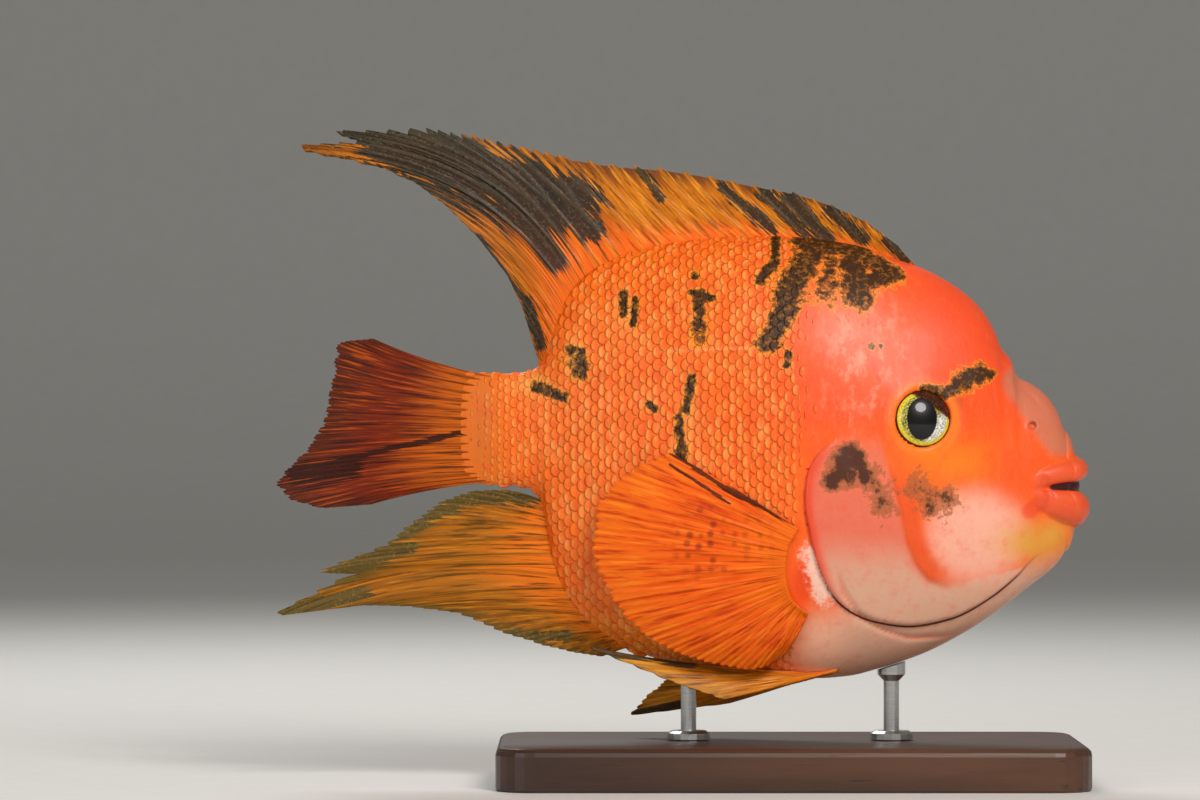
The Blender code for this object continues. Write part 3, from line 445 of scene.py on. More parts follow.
def layers(x, z):
    """Masks and colours from the ground up: each later one lies over those before."""
    gill, gill_share = line_distance(GILL_CURVE, x, z)
    cheek, cheek_share = line_distance(PREOPERCLE, x, z)
    fold, fold_share = line_distance(THROAT_FOLD, x, z)
    on_head = smooth_step(-0.4, 0.4, gill) * (x > 2.0)
    below_eye = smooth_step(1.0, -7.0, z)
    throat_skin = smooth_step(0.5, -0.5, gill) * smooth_step(6.0, 20.0, x) * smooth_step(-26.0, -40.0, z)
    gone = smooth_step(0.0, 0.12, gill_share)
    lateral = bump(z - 20.6 - 0.04 * (x + 18.0), 0.0, 0.35)
    return (
        (smooth_step(24.0, 46.0, z) * 0.8, "back"),
        (smooth_step(-24.0, -56.0, x) * 0.7, "stalk"),
        (smooth_step(-68.0, -80.0, x) * 0.9, "root"),
        (smooth_step(-38.0, -56.0, z) * smooth_step(8.0, -20.0, x) * 0.8, "keel"),
        (smooth_step(-20.0, 10.0, x) * smooth_step(-14.0, 6.0, z) * 0.85, "coral"),
        (spot(x, z, 14.0, 28.5, 11.0, 8.0) * 0.62, "nape"),
        (spot(x, z, 22.0, 12.0, 8.0, 10.0) * 0.08, "nape"),
        (smooth_step(26.0, 40.0, x) * smooth_step(4.0, 22.0, z) * 0.9, "forehead"),
        (smooth_step(-6.0, 8.0, x) * smooth_step(-42.0, -52.0, z), "chest"),
        (on_head * below_eye, "face"),
        (on_head * below_eye * smooth_step(0.6, -1.2, cheek) * smooth_step(42.0, 34.0, x), "opercle"),
        (on_head * smooth_step(-24.0, -38.0, z) * smooth_step(1.0, -3.0, cheek) * 0.9, "throat"),
        (on_head * spot(x, z, 46.8, -26.8, 13.4, 12.4, 5.5), "cheek"),
        (smooth_step(-36.0, -43.0, z) * on_head * smooth_step(56.0, 46.0, x), "throat"),
        (throat_skin, "throat"),
        (smooth_step(-0.3, 0.4, cheek) * smooth_step(6.0, 3.0, cheek) * smooth_step(0.0, 0.2, cheek_share)
         * smooth_step(1.0, 0.75, cheek_share) * below_eye * 0.9, "preopercle"),
        (spot(x, z, 40.0, -8.0, 12.0, 5.5) * 0.85, "under_eye"),
        (spot(x, z, 58.5, -9.0, 8.0, 8.5, 3.0) * 0.9, "snout"),
        (spot(x, z, 61.5, -28.5, 9.0, 5.0, 2.5) * 0.85, "chin"),
        (spot(x, z, 67.0, -26.5, 4.0, 3.5) * 0.7, "chin"),
        (spot(x, z, 41.6, 7.0, 2.0, 3.4, 4.0) * 0.55, "shade"),
        (along(x, z, 58.5, 12.0, 68.5, -2.0, 5.2) * 0.85, "pale"),
        (along(x, z, 60.5, -20.5, 67.0, -15.5, 2.2) * 0.6, "rim"),
        (bump(gill, 0.7, 1.3) * smooth_step(0.50, 0.32, gill_share) * (gill > -0.2) * gone * 0.8, "rim"),
        # Painted shade along the throat fold, in the preopercle colour.
        (bump(fold, 0.0, 0.3) * smooth_step(0.0, 0.2, fold_share) * smooth_step(1.0, 0.8, fold_share) * 0.6,
         "preopercle"),
        # Painted shadow: a dark red crescent on the flank at the pectoral fin's root, in the rim colour.
        (spot(x, z, 2.6, -38.5, 2.6, 6.0, 4.0) * smooth_step(0.2, -0.6, gill) * 0.7, "rim"),
        (spot(x, z, -65.5, 11.5, 4.5, 2.8) * 0.8, "straw"),
        (spot(x, z, -55.2, 18.5, 2.0, 4.5) * 0.8, "straw"),
        (spot(x, z, -42.0, 29.5, 2.6, 5.5) * 0.45, "straw"),
        (spot(x, z, -26.5, 2.0, 2.6, 9.0) * 0.4, "straw"),
        (lateral * smooth_step(-35.0, -31.0, x) * smooth_step(-5.0, -9.0, x) * 0.6, "line"),
        (bump(eye_distance(x, z), 8.4, 1.2) * smooth_step(-10.0, 4.0, x - 26.0) * 0.8, "under_eye"),
    )


def paint(x, z, shade=0.0):
    """The skin's linear colour at places seen from the side; shade darkens or lightens it a little."""
    colour = np.zeros((*np.shape(x), 4)) + linear(PALETTE["flank"])
    for mask, name in layers(x, z):
        mask = np.clip(mask, 0.0, 1.0)[..., None]
        colour = colour * (1 - mask) + np.array(linear(PALETTE[name])) * mask
    colour[..., :3] *= 1.0 + np.asarray(shade)[..., None]
    return colour


# %% [markdown]
# The dark marks are remnants of the black coat that young fish lose. Each is a short stroke with a
# radius; the field below is 1 in its middle and 0 at its edge, and the shader frays that edge with
# noise, so that marks break into scale-sized crumbs as they do on the fish.

# %% Dark marks
MARKS = (
    (6.5, 47.5, -1.5, 34.0, 3.8), (-0.5, 33.0, -6.0, 22.0, 3.0), (2.8, 48.5, 18.5, 46.5, 3.2),
    (15.8, 46.0, 16.8, 34.5, 4.3), (17.4, 38.0, 26.4, 39.5, 2.6), (20.0, 44.0, 24.0, 41.5, 2.0),
    (-3.6, 50.5, -4.1, 42.6, 1.3), (-4.1, 42.6, -7.7, 38.7, 1.6), (-1.0, 19.5, -1.5, 16.5, 1.0),
    (-24.4, 39.8, -24.4, 39.2, 1.0), (-24.9, 35.0, -20.4, 33.6, 1.4), (-23.6, 34.4, -23.6, 27.0, 1.6),
    (-42.6, 35.0, -42.6, 29.8, 1.2), (-39.7, 33.2, -40.3, 27.0, 1.0), (-64.9, 11.2, -57.6, 8.4, 1.5),
    (-25.4, 13.0, -26.9, 5.4, 1.3), (-28.8, 3.0, -28.0, -6.5, 1.3), (-36.3, 6.7, -34.8, 5.3, 1.1),
    (-56.6, 21.0, -55.6, 20.0, 1.0), (-53.4, 20.0, -53.0, 13.5, 1.2),
    (13.3, -9.0, 13.3, -10.0, 5.2), (9.8, -12.8, 10.4, -12.0, 3.2), (13.0, -6.0, 14.5, -5.0, 2.6),
    (16.6, -6.5, 18.0, -12.0, 2.3), (33.5, 10.6, 38.0, 9.4, 1.4),
    (38.0, 9.4, 42.0, 11.0, 1.9), (42.5, 12.0, 45.0, 12.8, 2.7),
    (45.0, 13.4, 47.4, 14.4, 2.9), (47.4, 14.6, 50.6, 14.4, 1.3),
    (20.0, 21.4, 20.2, 21.2, 0.9), (22.4, 21.4, 22.6, 21.2, 0.6),
)
FAINT_MARKS = (
    (19.5, -11.5, 23.2, -19.0, 3.6), (32.0, -14.6, 36.0, -19.2, 3.7), (36.5, -17.2, 40.0, -16.9, 2.6),
    (-23.6, 27.0, -23.6, 23.0, 1.6), (-55.0, 18.5, -54.0, 16.0, 2.2), (8.6, 36.0, 10.4, 44.0, 3.0),
    (-28.0, -4.0, -27.5, -9.0, 1.2),
)


def stroke_level(x, z, table, strength=1.0):
    """The strength in the middle of the nearest stroke, 0 at its edge and below that outside."""
    best = np.full(np.shape(x), -2.0)
    for x1, z1, x2, z2, radius in table:
        length = math.hypot(x2 - x1, z2 - z1) + 1e-6
        t = np.clip(((x - x1) * (x2 - x1) + (z - z1) * (z2 - z1)) / length**2, 0.0, 1.0)
        away = np.hypot(x - x1 - t * (x2 - x1), z - z1 - t * (z2 - z1))
        best = np.maximum(best, strength * (1 - away / radius))
    return best


def dark_marks(x, z):
    """Strong and faint marks together, as the materials read them."""
    solid = np.minimum(stroke_level(x, z, MARKS, 1.5), 1.1)
    return np.maximum(solid, stroke_level(x, z, FAINT_MARKS, 0.55))


print(len(MARKS), "dark marks")

# %% [markdown]
# Three helpers make every mesh of this file: one for the faces of a net of points, one for the mesh
# itself and one that hangs a number or a colour on each of its points for the materials to read.

# %% Meshes from nets of points
def net_faces(rows, columns, closed=False):
    """Quads of a net of rows by columns points; closed joins the last column to the first."""
    index = np.arange(rows * columns).reshape(rows, columns)
    if closed:
        index = np.concatenate([index, index[:, :1]], axis=1)
    return np.stack([index[:-1, :-1], index[:-1, 1:], index[1:, 1:], index[1:, :-1]], axis=-1).reshape(-1, 4)


def make_mesh(name, points, quads, triangles=()):
    """A smooth-shaded mesh object from points in millimetres above the fish's axis."""
    triangles = np.asarray(triangles, int).reshape(-1, 3)
    mesh = bpy.data.meshes.new(name)
    mesh.vertices.add(len(points))
    lifted = (np.asarray(points, float) + (0.0, 0.0, AXIS_HEIGHT)) * MM
    mesh.vertices.foreach_set("co", lifted.ravel())
    corners = np.concatenate([np.asarray(quads, int).ravel(), triangles.ravel()])
    starts = np.concatenate([np.arange(len(quads)) * 4, len(quads) * 4 + np.arange(len(triangles)) * 3])
    mesh.loops.add(len(corners))
    mesh.loops.foreach_set("vertex_index", corners)
    mesh.polygons.add(len(starts))
    mesh.polygons.foreach_set("loop_start", starts)
    mesh.polygons.foreach_set("use_smooth", np.ones(len(starts), bool))
    mesh.update(calc_edges=True)
    obj = bpy.data.objects.new(name, mesh)
    bpy.context.scene.collection.objects.link(obj)
    return obj


def add_numbers(obj, name, values):
    """Hangs one number or one colour on each point of a mesh."""
    kind = "FLOAT_COLOR" if np.ndim(values) > 1 else "FLOAT"
    layer = obj.data.attributes.new(name, kind, "POINT")
    layer.data.foreach_set("color" if kind == "FLOAT_COLOR" else "value", np.asarray(values, float).ravel())


def add_uv(obj, name, places):
    """A UV map from one place per point, as shares of the picture's width and height."""
    corner = np.empty(len(obj.data.loops), int)
    obj.data.loops.foreach_get("vertex_index", corner)
    layer = obj.data.uv_layers.new(name=name)
    layer.data.foreach_set("uv", np.asarray(places, float)[corner].ravel())


def pole_fan(first, columns, centre, turned):
    """Triangles from a ring of points to a pole."""
    here = first + np.arange(columns)
    after = first + (np.arange(columns) + 1) % columns
    order = (here, after) if turned else (after, here)
    return np.stack([*order, np.full(columns, centre)], axis=1)


# %% [markdown]
# The materials are built from a few nodes each. One function adds a node, sets its values and links
# its sockets, so that each recipe below reads as a list of layers.

# %% Adding a node
def add_node(tree, kind, values=None, **settings):
    """A new node. values maps a socket's name or number to a constant or to another socket."""
    made = tree.nodes.new(kind)
    for key, value in settings.items():
        setattr(made, key, value)
    for key, value in (values or {}).items():
        if isinstance(value, bpy.types.NodeSocket):
            tree.links.new(value, made.inputs[key])
        else:
            made.inputs[key].default_value = value
    return made


def new_material(name):
    """A material with its node tree and principled shader."""
    material = bpy.data.materials.new(name)
    material.use_nodes = True
    return material, material.node_tree, material.node_tree.nodes["Principled BSDF"]


def read_attribute(tree, name, socket="Fac"):
    """What the mesh carries under a name."""
    return add_node(tree, "ShaderNodeAttribute", attribute_name=name).outputs[socket]


def object_noise(tree, scale, detail=3.0, roughness=0.55, stretch=(1.0, 1.0, 1.0)):
    """Noise in the object's own coordinates; scale counts features per metre."""
    place = add_node(tree, "ShaderNodeTexCoord").outputs["Object"]
    mapped = add_node(tree, "ShaderNodeMapping", {0: place, "Scale": stretch}).outputs[0]
    return add_node(tree, "ShaderNodeTexNoise", {
        "Vector": mapped, "Scale": scale, "Detail": detail, "Roughness": roughness}).outputs["Fac"]


def math_node(tree, operation, first, second=0.0, third=0.0):
    """One sum of up to three sockets or numbers."""
    return add_node(tree, "ShaderNodeMath", {0: first, 1: second, 2: third}, operation=operation).outputs[0]


def plus(tree, first, second):
    """first + second."""
    return math_node(tree, "ADD", first, second)


def times(tree, first, second):
    """first * second."""
    return math_node(tree, "MULTIPLY", first, second)


def scaled(tree, value, factor, offset):
    """value * factor + offset."""
    return math_node(tree, "MULTIPLY_ADD", value, factor, offset)


def ramp(tree, value, low, high):
    """0 below low, 1 above high."""
    return add_node(tree, "ShaderNodeMapRange", {
        "Value": value, "From Min": low, "From Max": high}, interpolation_type="SMOOTHSTEP").outputs[0]


def mix_colour(tree, factor, first, second):
    """The first colour where the factor is 0, the second where it is 1."""
    return add_node(tree, "ShaderNodeMix", {0: factor, 6: first, 7: second}, data_type="RGBA").outputs[2]


def finish_shader(tree, shader, colour, roughness, height, distance, coat=0.0, gloss=0.5):
    """Links colour, roughness and a bump whose height is in millimetres."""
    bumped = add_node(tree, "ShaderNodeBump", {"Height": height, "Distance": distance * MM, "Strength": 1.0})
    tree.links.new(bumped.outputs[0], shader.inputs["Normal"])
    tree.links.new(colour, shader.inputs["Base Color"])
    for name, value in (("Roughness", roughness), ("Coat Weight", coat)):
        if isinstance(value, bpy.types.NodeSocket):
            tree.links.new(value, shader.inputs[name])
        else:
            shader.inputs[name].default_value = value
    shader.inputs["Coat Roughness"].default_value = 0.18
    shader.inputs["Specular IOR Level"].default_value = gloss


# %% [markdown]
# The skin is soft tissue under a clear film of mucus. Colour comes from the painted field, mottled
# at the size of pigment cells and of scale pockets; the dark marks are cut by a threshold that noise
# moves about; a clear coat stands for the film.

# %% The skin's material
def skin_material(name, scaly):
    """Fish skin. scaly adds painted light on each scale's rear rim, partly its own paler colour, and painted shade
    on its front.
    """
    material, tree, shader = new_material(name)
    colour = read_attribute(tree, "paint", "Color")
    mottle = object_noise(tree, 330.0, 4.0, 0.65)
    fine = object_noise(tree, 2600.0, 3.0, 0.6)
    streak = object_noise(tree, 420.0, 4.0, 0.65, (1.5, 1.0, 0.35))
    crumbs = object_noise(tree, 640.0, 5.0, 0.75)
    grown = read_attribute(tree, "grown")
    red = times(tree, ramp(tree, mottle, 0.46, 0.72), scaled(tree, grown, 0.28, 0.22))
    colour = mix_colour(tree, red, colour, linear("#ee3406"))
    if scaly:
        # Painted light and shade on each scale: its front, under the scale ahead, is darkened as painted shade; its
        # raised rear rim is lightened, partly its own paler colour and partly painted light against the shade on
        # that edge.
        rim = read_attribute(tree, "rim")
        front = times(tree, ramp(tree, rim, 0.80, 0.50), times(tree, grown, 0.36))
        colour = mix_colour(tree, front, colour, linear("#e83c08"))
        light = times(tree, ramp(tree, rim, 0.50, 0.90), scaled(tree, ramp(tree, streak, 0.44, 0.60), 0.8, 0.2))
        light = times(tree, light, times(tree, grown, 0.70))
        colour = mix_colour(tree, light, colour, linear("#fda040"))
    streaks = times(tree, ramp(tree, streak, 0.52, 0.70), scaled(tree, grown, 0.24, 0.06))
    colour = mix_colour(tree, streaks, colour, linear("#fda468"))
    pale = times(tree, ramp(tree, fine, 0.56, 0.78), 0.16)
    colour = mix_colour(tree, pale, colour, linear("#ffc098"))
    if not scaly:
        blush = times(tree, ramp(tree, crumbs, 0.54, 0.70), 0.18)
        colour = mix_colour(tree, blush, colour, linear("#ee5030"))
        # Painted shadow: a dark line in the groove just outside the lower gill cover's free edge, where that edge
        # would shade the skin.
        gill = math_node(tree, "ABSOLUTE", plus(tree, read_attribute(tree, "gill_away"), 0.3))
        thin = times(tree, ramp(tree, gill, 0.40, 0.10), read_attribute(tree, "gill_edge_shadow"))
        colour = mix_colour(tree, thin, colour, linear(PALETTE["fold"]))
        tuft = plus(tree, read_attribute(tree, "tuft"), scaled(tree, crumbs, 3.6, -1.8))
        colour = mix_colour(tree, times(tree, ramp(tree, tuft, -0.3, 0.9), 0.88), colour, linear(PALETTE["tuft"]))
        nape = read_attribute(tree, "nape")
        patchy = times(tree, ramp(tree, object_noise(tree, 300.0, 6.0, 0.7, (1.0, 1.0, 0.6)), 0.46, 0.68), nape)
        colour = mix_colour(tree, patchy, colour, linear("#ffa688"))
        wrinkle = times(tree, ramp(tree, object_noise(tree, 700.0, 3.0, 0.6, (1.0, 1.0, 0.35)), 0.57, 0.66), nape)
        colour = mix_colour(tree, wrinkle, colour, linear("#d04420"))
    on_head = read_attribute(tree, "on_head")
    reach = scaled(tree, on_head, -1.4, 3.2)
    around = times(tree, math_node(tree, "SUBTRACT", crumbs, 0.5), reach)
    around = plus(tree, around, scaled(tree, mottle, 1.8, -0.9))
    level = plus(tree, read_attribute(tree, "marks"), around)
    halo = times(tree, ramp(tree, level, -0.40, -0.10), math_node(tree, "SUBTRACT", 0.5, on_head))
    colour = mix_colour(tree, halo, colour, linear("#f0a01c"))
    dark = times(tree, ramp(tree, level, 0.0, 0.10), scaled(tree, ramp(tree, level, 0.25, 0.6), 0.30, 0.66))
    tone = mix_colour(tree, ramp(tree, crumbs, 0.40, 0.50), linear(PALETTE["gold"]), linear(PALETTE["brown"]))
    head_tone = mix_colour(tree, ramp(tree, level, 0.32, 0.85), linear("#a05c30"), linear("#40200f"))
    tone = mix_colour(tree, ramp(tree, on_head, 0.3, 0.7), tone, head_tone)
    colour = mix_colour(tree, dark, colour, tone)
    # Painted shade: the mouth's opening is darkened as the shade inside the open mouth.
    gap = read_attribute(tree, "gap")
    colour = mix_colour(tree, ramp(tree, gap, 0.25, 0.7), colour, linear(PALETTE["mouth"]))
    height = plus(tree, times(tree, fine, 0.3), times(tree, streak, 0.7))
    roughness = scaled(tree, fine, 0.16, 0.38)
    finish_shader(tree, shader, colour, roughness, height, 0.10 if scaly else 0.14, 0.08, 0.28)
    return material


# %% [markdown]
# The skin takes the place of the head, trunk, tail stalk, gill covers and lips of the frame, so that
# no seam shows between them. The lips carry their own tint; the mouth's opening is painted dark as shade.

# %% The skin
SKIN_NODES = ("head", "trunk", "tail_stalk", "upper_lip", "lower_lip", "gill_cover_right", "gill_cover_left")


def make_skin():
    """The one closed mesh of the skin, with what its material reads."""
    rings = len(skin_points)
    points = skin_points.reshape(-1, 3)
    poles = [skin_points[0].mean(axis=0), skin_points[-1].mean(axis=0)]
    quads = net_faces(rings, SKIN_COLUMNS, closed=True)
    fans = np.concatenate([
        pole_fan(0, SKIN_COLUMNS, len(points), False),
        pole_fan((rings - 1) * SKIN_COLUMNS, SKIN_COLUMNS, len(points) + 1, True)])
    obj = make_mesh("skin", np.concatenate([points, poles]), quads[:, ::-1], fans[:, ::-1])
    places = np.concatenate([skin_places.reshape(-1, 3), poles])
    x, z = places[:, 0], places[:, 2]
    colour = paint(x, z)
    lips = np.append(lip_share.ravel(), (0.0, 0.0))[:, None]
    colour = colour * (1 - 0.85 * lips) + 0.85 * lips * np.array(linear(PALETTE["lip"]))
    add_numbers(obj, "paint", colour)
    add_numbers(obj, "marks", dark_marks(x, z))
    add_numbers(obj, "grown", np.zeros(len(places)))
    # The mouth's opening, where the skin is painted dark as shade.
    add_numbers(obj, "gap", np.append(mouth_shadow_share.ravel(), (0.0, 1.0)))
    add_numbers(obj, "on_head", smooth_step(2.0, 6.0, x) * smooth_step(10.0, 4.0, z))
    away, share = line_distance(GILL_CURVE, x, z)
    add_numbers(obj, "gill_away", np.clip(away, -4.0, 4.0))
    # Where along the lower gill edge the painted shadow of its free edge lies.
    add_numbers(obj, "gill_edge_shadow", smooth_step(0.30, 0.42, share) * smooth_step(0.97, 0.86, share))
    add_numbers(obj, "tuft", np.where(away < 0, stroke_level(x, z, ((4.4, -31.0, 8.0, -42.0, 2.8),)), -1.0))
    add_numbers(obj, "nape", 0.55 * spot(x, z, 18.0, 18.0, 13.0, 20.0, 3.0))
    obj.data.materials.append(skin_material("fish skin", False))
    return obj


skin = make_skin()
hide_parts(*SKIN_NODES)
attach(skin, "root")
print("skin:", len(skin.data.polygons), "faces")

# %% [markdown]
# Scales stand in columns from head to tail, each half a scale off the last, like roof tiles. A real
# coat is made by the skin laying down one plate in each pocket; here each plate is a small closed
# dish set on the skin's own surface, its front sunk and its rear raised by a few tenths.

# %% Where the scales sit
SCALE_PITCH, SCALE_STEP = 3.3, 1.75
SCALE_HALF_LENGTH, SCALE_HALF_BREADTH, SCALE_RISE = 2.3, 1.8, 0.10


def side_surface(x, z, side):
    """Points on the skin of one side."""
    return np.stack([x, side * half_width_at(x, z), z], axis=-1)


def scale_places():
    """Roots of the scales of one side, seen from that side, and how large each is."""
    xs, zs, sizes = [], [], []
    for row, x in enumerate(np.arange(14.0, -83.0, -SCALE_STEP)):
        low, high = middle_height(x) - half_height(x), middle_height(x) + half_height(x)
        angle = np.linspace(-math.pi / 2, math.pi / 2, 400)
        z = (low + high) / 2 + (high - low) / 2 * np.sin(angle)
        width = plain_width(np.full_like(z, x), z)[0]
        arc = np.concatenate([[0.0], np.cumsum(np.hypot(np.diff(z), np.diff(width)))])
        pitch = SCALE_PITCH * (0.66 + 0.34 * float(smooth_step(-80.0, -50.0, x)))
        origin = np.interp(2.0, z, arc) + (row % 2) * pitch / 2
        steps = np.arange(math.ceil((0.6 - origin) / pitch), math.floor((arc[-1] - 0.6 - origin) / pitch) + 1)
        heights = np.interp(origin + steps * pitch, arc, z)
        xs.append(np.full(len(heights), x))
        zs.append(heights)
        sizes.append(np.full(len(heights), pitch / SCALE_PITCH))
    return np.concatenate(xs), np.concatenate(zs), np.concatenate(sizes)


def scale_keep(x, z):
    """True where the body bears scales: behind the gill cover and clear of the fin roots."""
    gill = line_distance(GILL_CURVE, x, z)[0]
    behind = np.where(z > -1.5, x < 8.5 + np.clip(0.25 * z, 0.0, 4.0), (gill < -1.0) & (x < 14.0))
    throat = (z < -40.0) & (x > 2.0)
    fin_root = (np.hypot((x - 1.5) / 6.0, (z + 36.0) / 13.0) < 1.0) | ((x > 2.8) & (z < -24.0))
    return behind & ~throat & ~fin_root


scale_x, scale_z, scale_size = scale_places()
kept = scale_keep(scale_x, scale_z)
scale_x, scale_z, scale_size = scale_x[kept], scale_z[kept], scale_size[kept]
nudge = np.random.default_rng(3).normal(0.0, 0.15, (2, len(scale_x)))
scale_x, scale_z = scale_x + nudge[0], scale_z + nudge[1] * smooth_step(-84.0, -60.0, scale_x)
print(len(scale_x), "scales a side")

# %% [markdown]
# One plate is a round net of rings about its middle, top and bottom, closed at the rim. Each copy is
# laid on two directions of the skin at its root, and every point drops onto the curved skin, so large
# scales bend with the flank instead of standing off it.

# %% One scale, many times
AROUND = 14


def plate():
    """Points of a plate as share of its size: along, across, rim and lift, top then bottom."""
    turn = np.arange(AROUND) * 2 * math.pi / AROUND
    along = np.sign(np.cos(turn)) * np.abs(np.cos(turn)) ** 0.75
    across = np.sign(np.sin(turn)) * np.abs(np.sin(turn)) ** 0.8
    rings = [np.stack([radius * along, radius * across, np.full(AROUND, radius)], axis=1)
             for radius in (0.45, 0.8, 1.0, 0.8)]
    flat = np.concatenate([np.zeros((1, 3)), *rings, np.zeros((1, 3))])
    under = np.concatenate([np.zeros(1 + 3 * AROUND), np.ones(AROUND + 1)])
    return flat, under


def plate_faces():
    """Quads between the plate's rings and fans at its two middles."""
    quads = net_faces(4, AROUND, closed=True) + 1
    fans = np.concatenate([
        pole_fan(1, AROUND, 0, True), pole_fan(1 + 3 * AROUND, AROUND, 1 + 4 * AROUND, False)])
    return quads[:, ::-1], fans


def make_scales(name, side):
    """The whole coat of one side: a plate at every place, turned, bent and lifted to lie there."""
    rng = np.random.default_rng(11 + side)
    flat, under = plate()
    count = len(scale_x)
    root = side_surface(scale_x, scale_z, side)
    step = 0.6
    back = side_surface(scale_x - step, scale_z, side) - side_surface(scale_x + step, scale_z, side)
    down = side_surface(scale_x, scale_z - step, side) - side_surface(scale_x, scale_z + step, side)
    back /= np.linalg.norm(back, axis=1)[:, None]
    out = np.cross(back, down) * -side
    out /= np.linalg.norm(out, axis=1)[:, None]
    across = np.cross(out, back)
    grown = smooth_step(13.0, -3.0, scale_x) * (0.35 + 0.65 * smooth_step(-84.0, -70.0, scale_x))
    size = scale_size * (0.97 + 0.08 * rng.random(count)) * (0.85 + 0.15 * grown)
    along = flat[None, :, 0] * (SCALE_HALF_LENGTH * size)[:, None]
    aside = flat[None, :, 1] * (SCALE_HALF_BREADTH * size)[:, None]
    places = root[:, None] + along[..., None] * back[:, None] + aside[..., None] * across[:, None]
    skin_y = side * half_width_at(places[..., 0], places[..., 2])
    drop = np.clip(skin_y - places[..., 1], -1.0, 1.0)
    rise = SCALE_RISE - 0.03 * smooth_step(20.0, 34.0, scale_z)[:, None]
    lift = rise * flat[None, :, 0] - 0.02 - 0.04 * flat[None, :, 1] ** 2 - 0.22 * under[None]
    lift = lift + 0.05 * rng.random(count)[:, None]
    lift = lift - (0.11 + 0.16 * rng.random(count)[:, None]) * (1 - grown)[:, None]
    places[..., 1] += 0.9 * drop
    places += lift[..., None] * out[:, None]
    quads, fans = plate_faces()
    shift = (np.arange(count) * len(flat))[:, None, None]
    obj = make_mesh(name, places.reshape(-1, 3), (quads[None] + shift).reshape(-1, 4),
                    (fans[None] + shift).reshape(-1, 3))
    shade = np.repeat(rng.normal(0.0, 0.07, count), len(flat))
    flat_places = places.reshape(-1, 3)
    add_numbers(obj, "paint", paint(flat_places[:, 0], flat_places[:, 2], shade))
    add_numbers(obj, "marks", dark_marks(flat_places[:, 0], flat_places[:, 2]))
    # Front to rear on each plate, for the painted shade at its front and the painted light at its rear rim.
    add_numbers(obj, "rim", np.tile(np.clip(flat[:, 0], -1, 1) * 0.5 + 0.5, count))
    add_numbers(obj, "grown", np.repeat(grown, len(flat)))
    add_numbers(obj, "gap", np.zeros(len(flat_places)))
    add_numbers(obj, "on_head", np.zeros(len(flat_places)))
    root_uv = np.stack([
        np.interp(scale_x, (scale_x.min(), scale_x.max()), (0.02, 0.98)),
        np.interp(scale_z, (scale_z.min(), scale_z.max()), (0.02, 0.98))], axis=1)
    uv = root_uv[:, None] + flat[None, :, :2] * (-0.0015, 0.0015)
    add_uv(obj, "OFBake", uv.reshape(-1, 2))
    return obj


scale_skin = skin_material("fish scales", True)
for word, side in SIDES:
    coat = make_scales(f"scales_{word}", side)
    coat.data.materials.append(scale_skin)
    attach(coat, "root")
    print(coat.name, len(coat.data.polygons), "faces")

# %% [markdown]
# The eyeball is a flattened ball on the socket's axis. Its front carries an iris ring of silver and
# yellow-green around a tall oval pupil, with the brown pigment that spills over its upper front.
# A clear coat stands for the cornea.

# %% The eyes
def eye_frame(side):
    """The eye's way out, the way forward across it, the way up across it, and its middle."""
    out = eye_direction(side)
    ahead = np.array((1.0, 0.0, 0.0)) - out[0] * out
    ahead /= np.linalg.norm(ahead)
    up = np.cross(out, ahead) * -side
    sunk = EYEBALL_HALF_DEPTH * math.sqrt(1 - (EYE_RADIUS / EYEBALL_RADIUS) ** 2) + 0.25
    surface = np.array((EYE_PLACE[0], side * float(plain_width(*EYE_PLACE)[0]) + side * 0.35, EYE_PLACE[1]))
    return out, ahead, up, surface - sunk * out


def make_eye(word, side):
    """One eyeball, with each point's way forward and up for the iris to read."""
    out, ahead, up, middle = eye_frame(side)
    rings, around = 60, 96
    polar = np.linspace(0.0, math.pi, rings + 2)[1:-1, None, None]
    turn = np.arange(around)[None, :, None] * 2 * math.pi / around
    ray = np.cos(turn) * ahead + np.sin(turn) * up
    points = middle + EYEBALL_RADIUS * np.sin(polar) * ray + EYEBALL_HALF_DEPTH * np.cos(polar) * out
    flat = points.reshape(-1, 3)
    poles = [middle + EYEBALL_HALF_DEPTH * out, middle - EYEBALL_HALF_DEPTH * out]
    quads = net_faces(rings, around, closed=True)
    fans = np.concatenate([
        pole_fan(0, around, len(flat), False), pole_fan((rings - 1) * around, around, len(flat) + 1, True)])
    if side > 0:
        quads, fans = quads[:, ::-1], fans[:, ::-1]
    obj = make_mesh(f"eyeball_{word}", np.concatenate([flat, poles]), quads, fans)
    away = np.concatenate([flat, poles]) - middle
    forward, high = away @ ahead, away @ up
    add_numbers(obj, "forward", forward)
    add_numbers(obj, "high", high)
    return obj


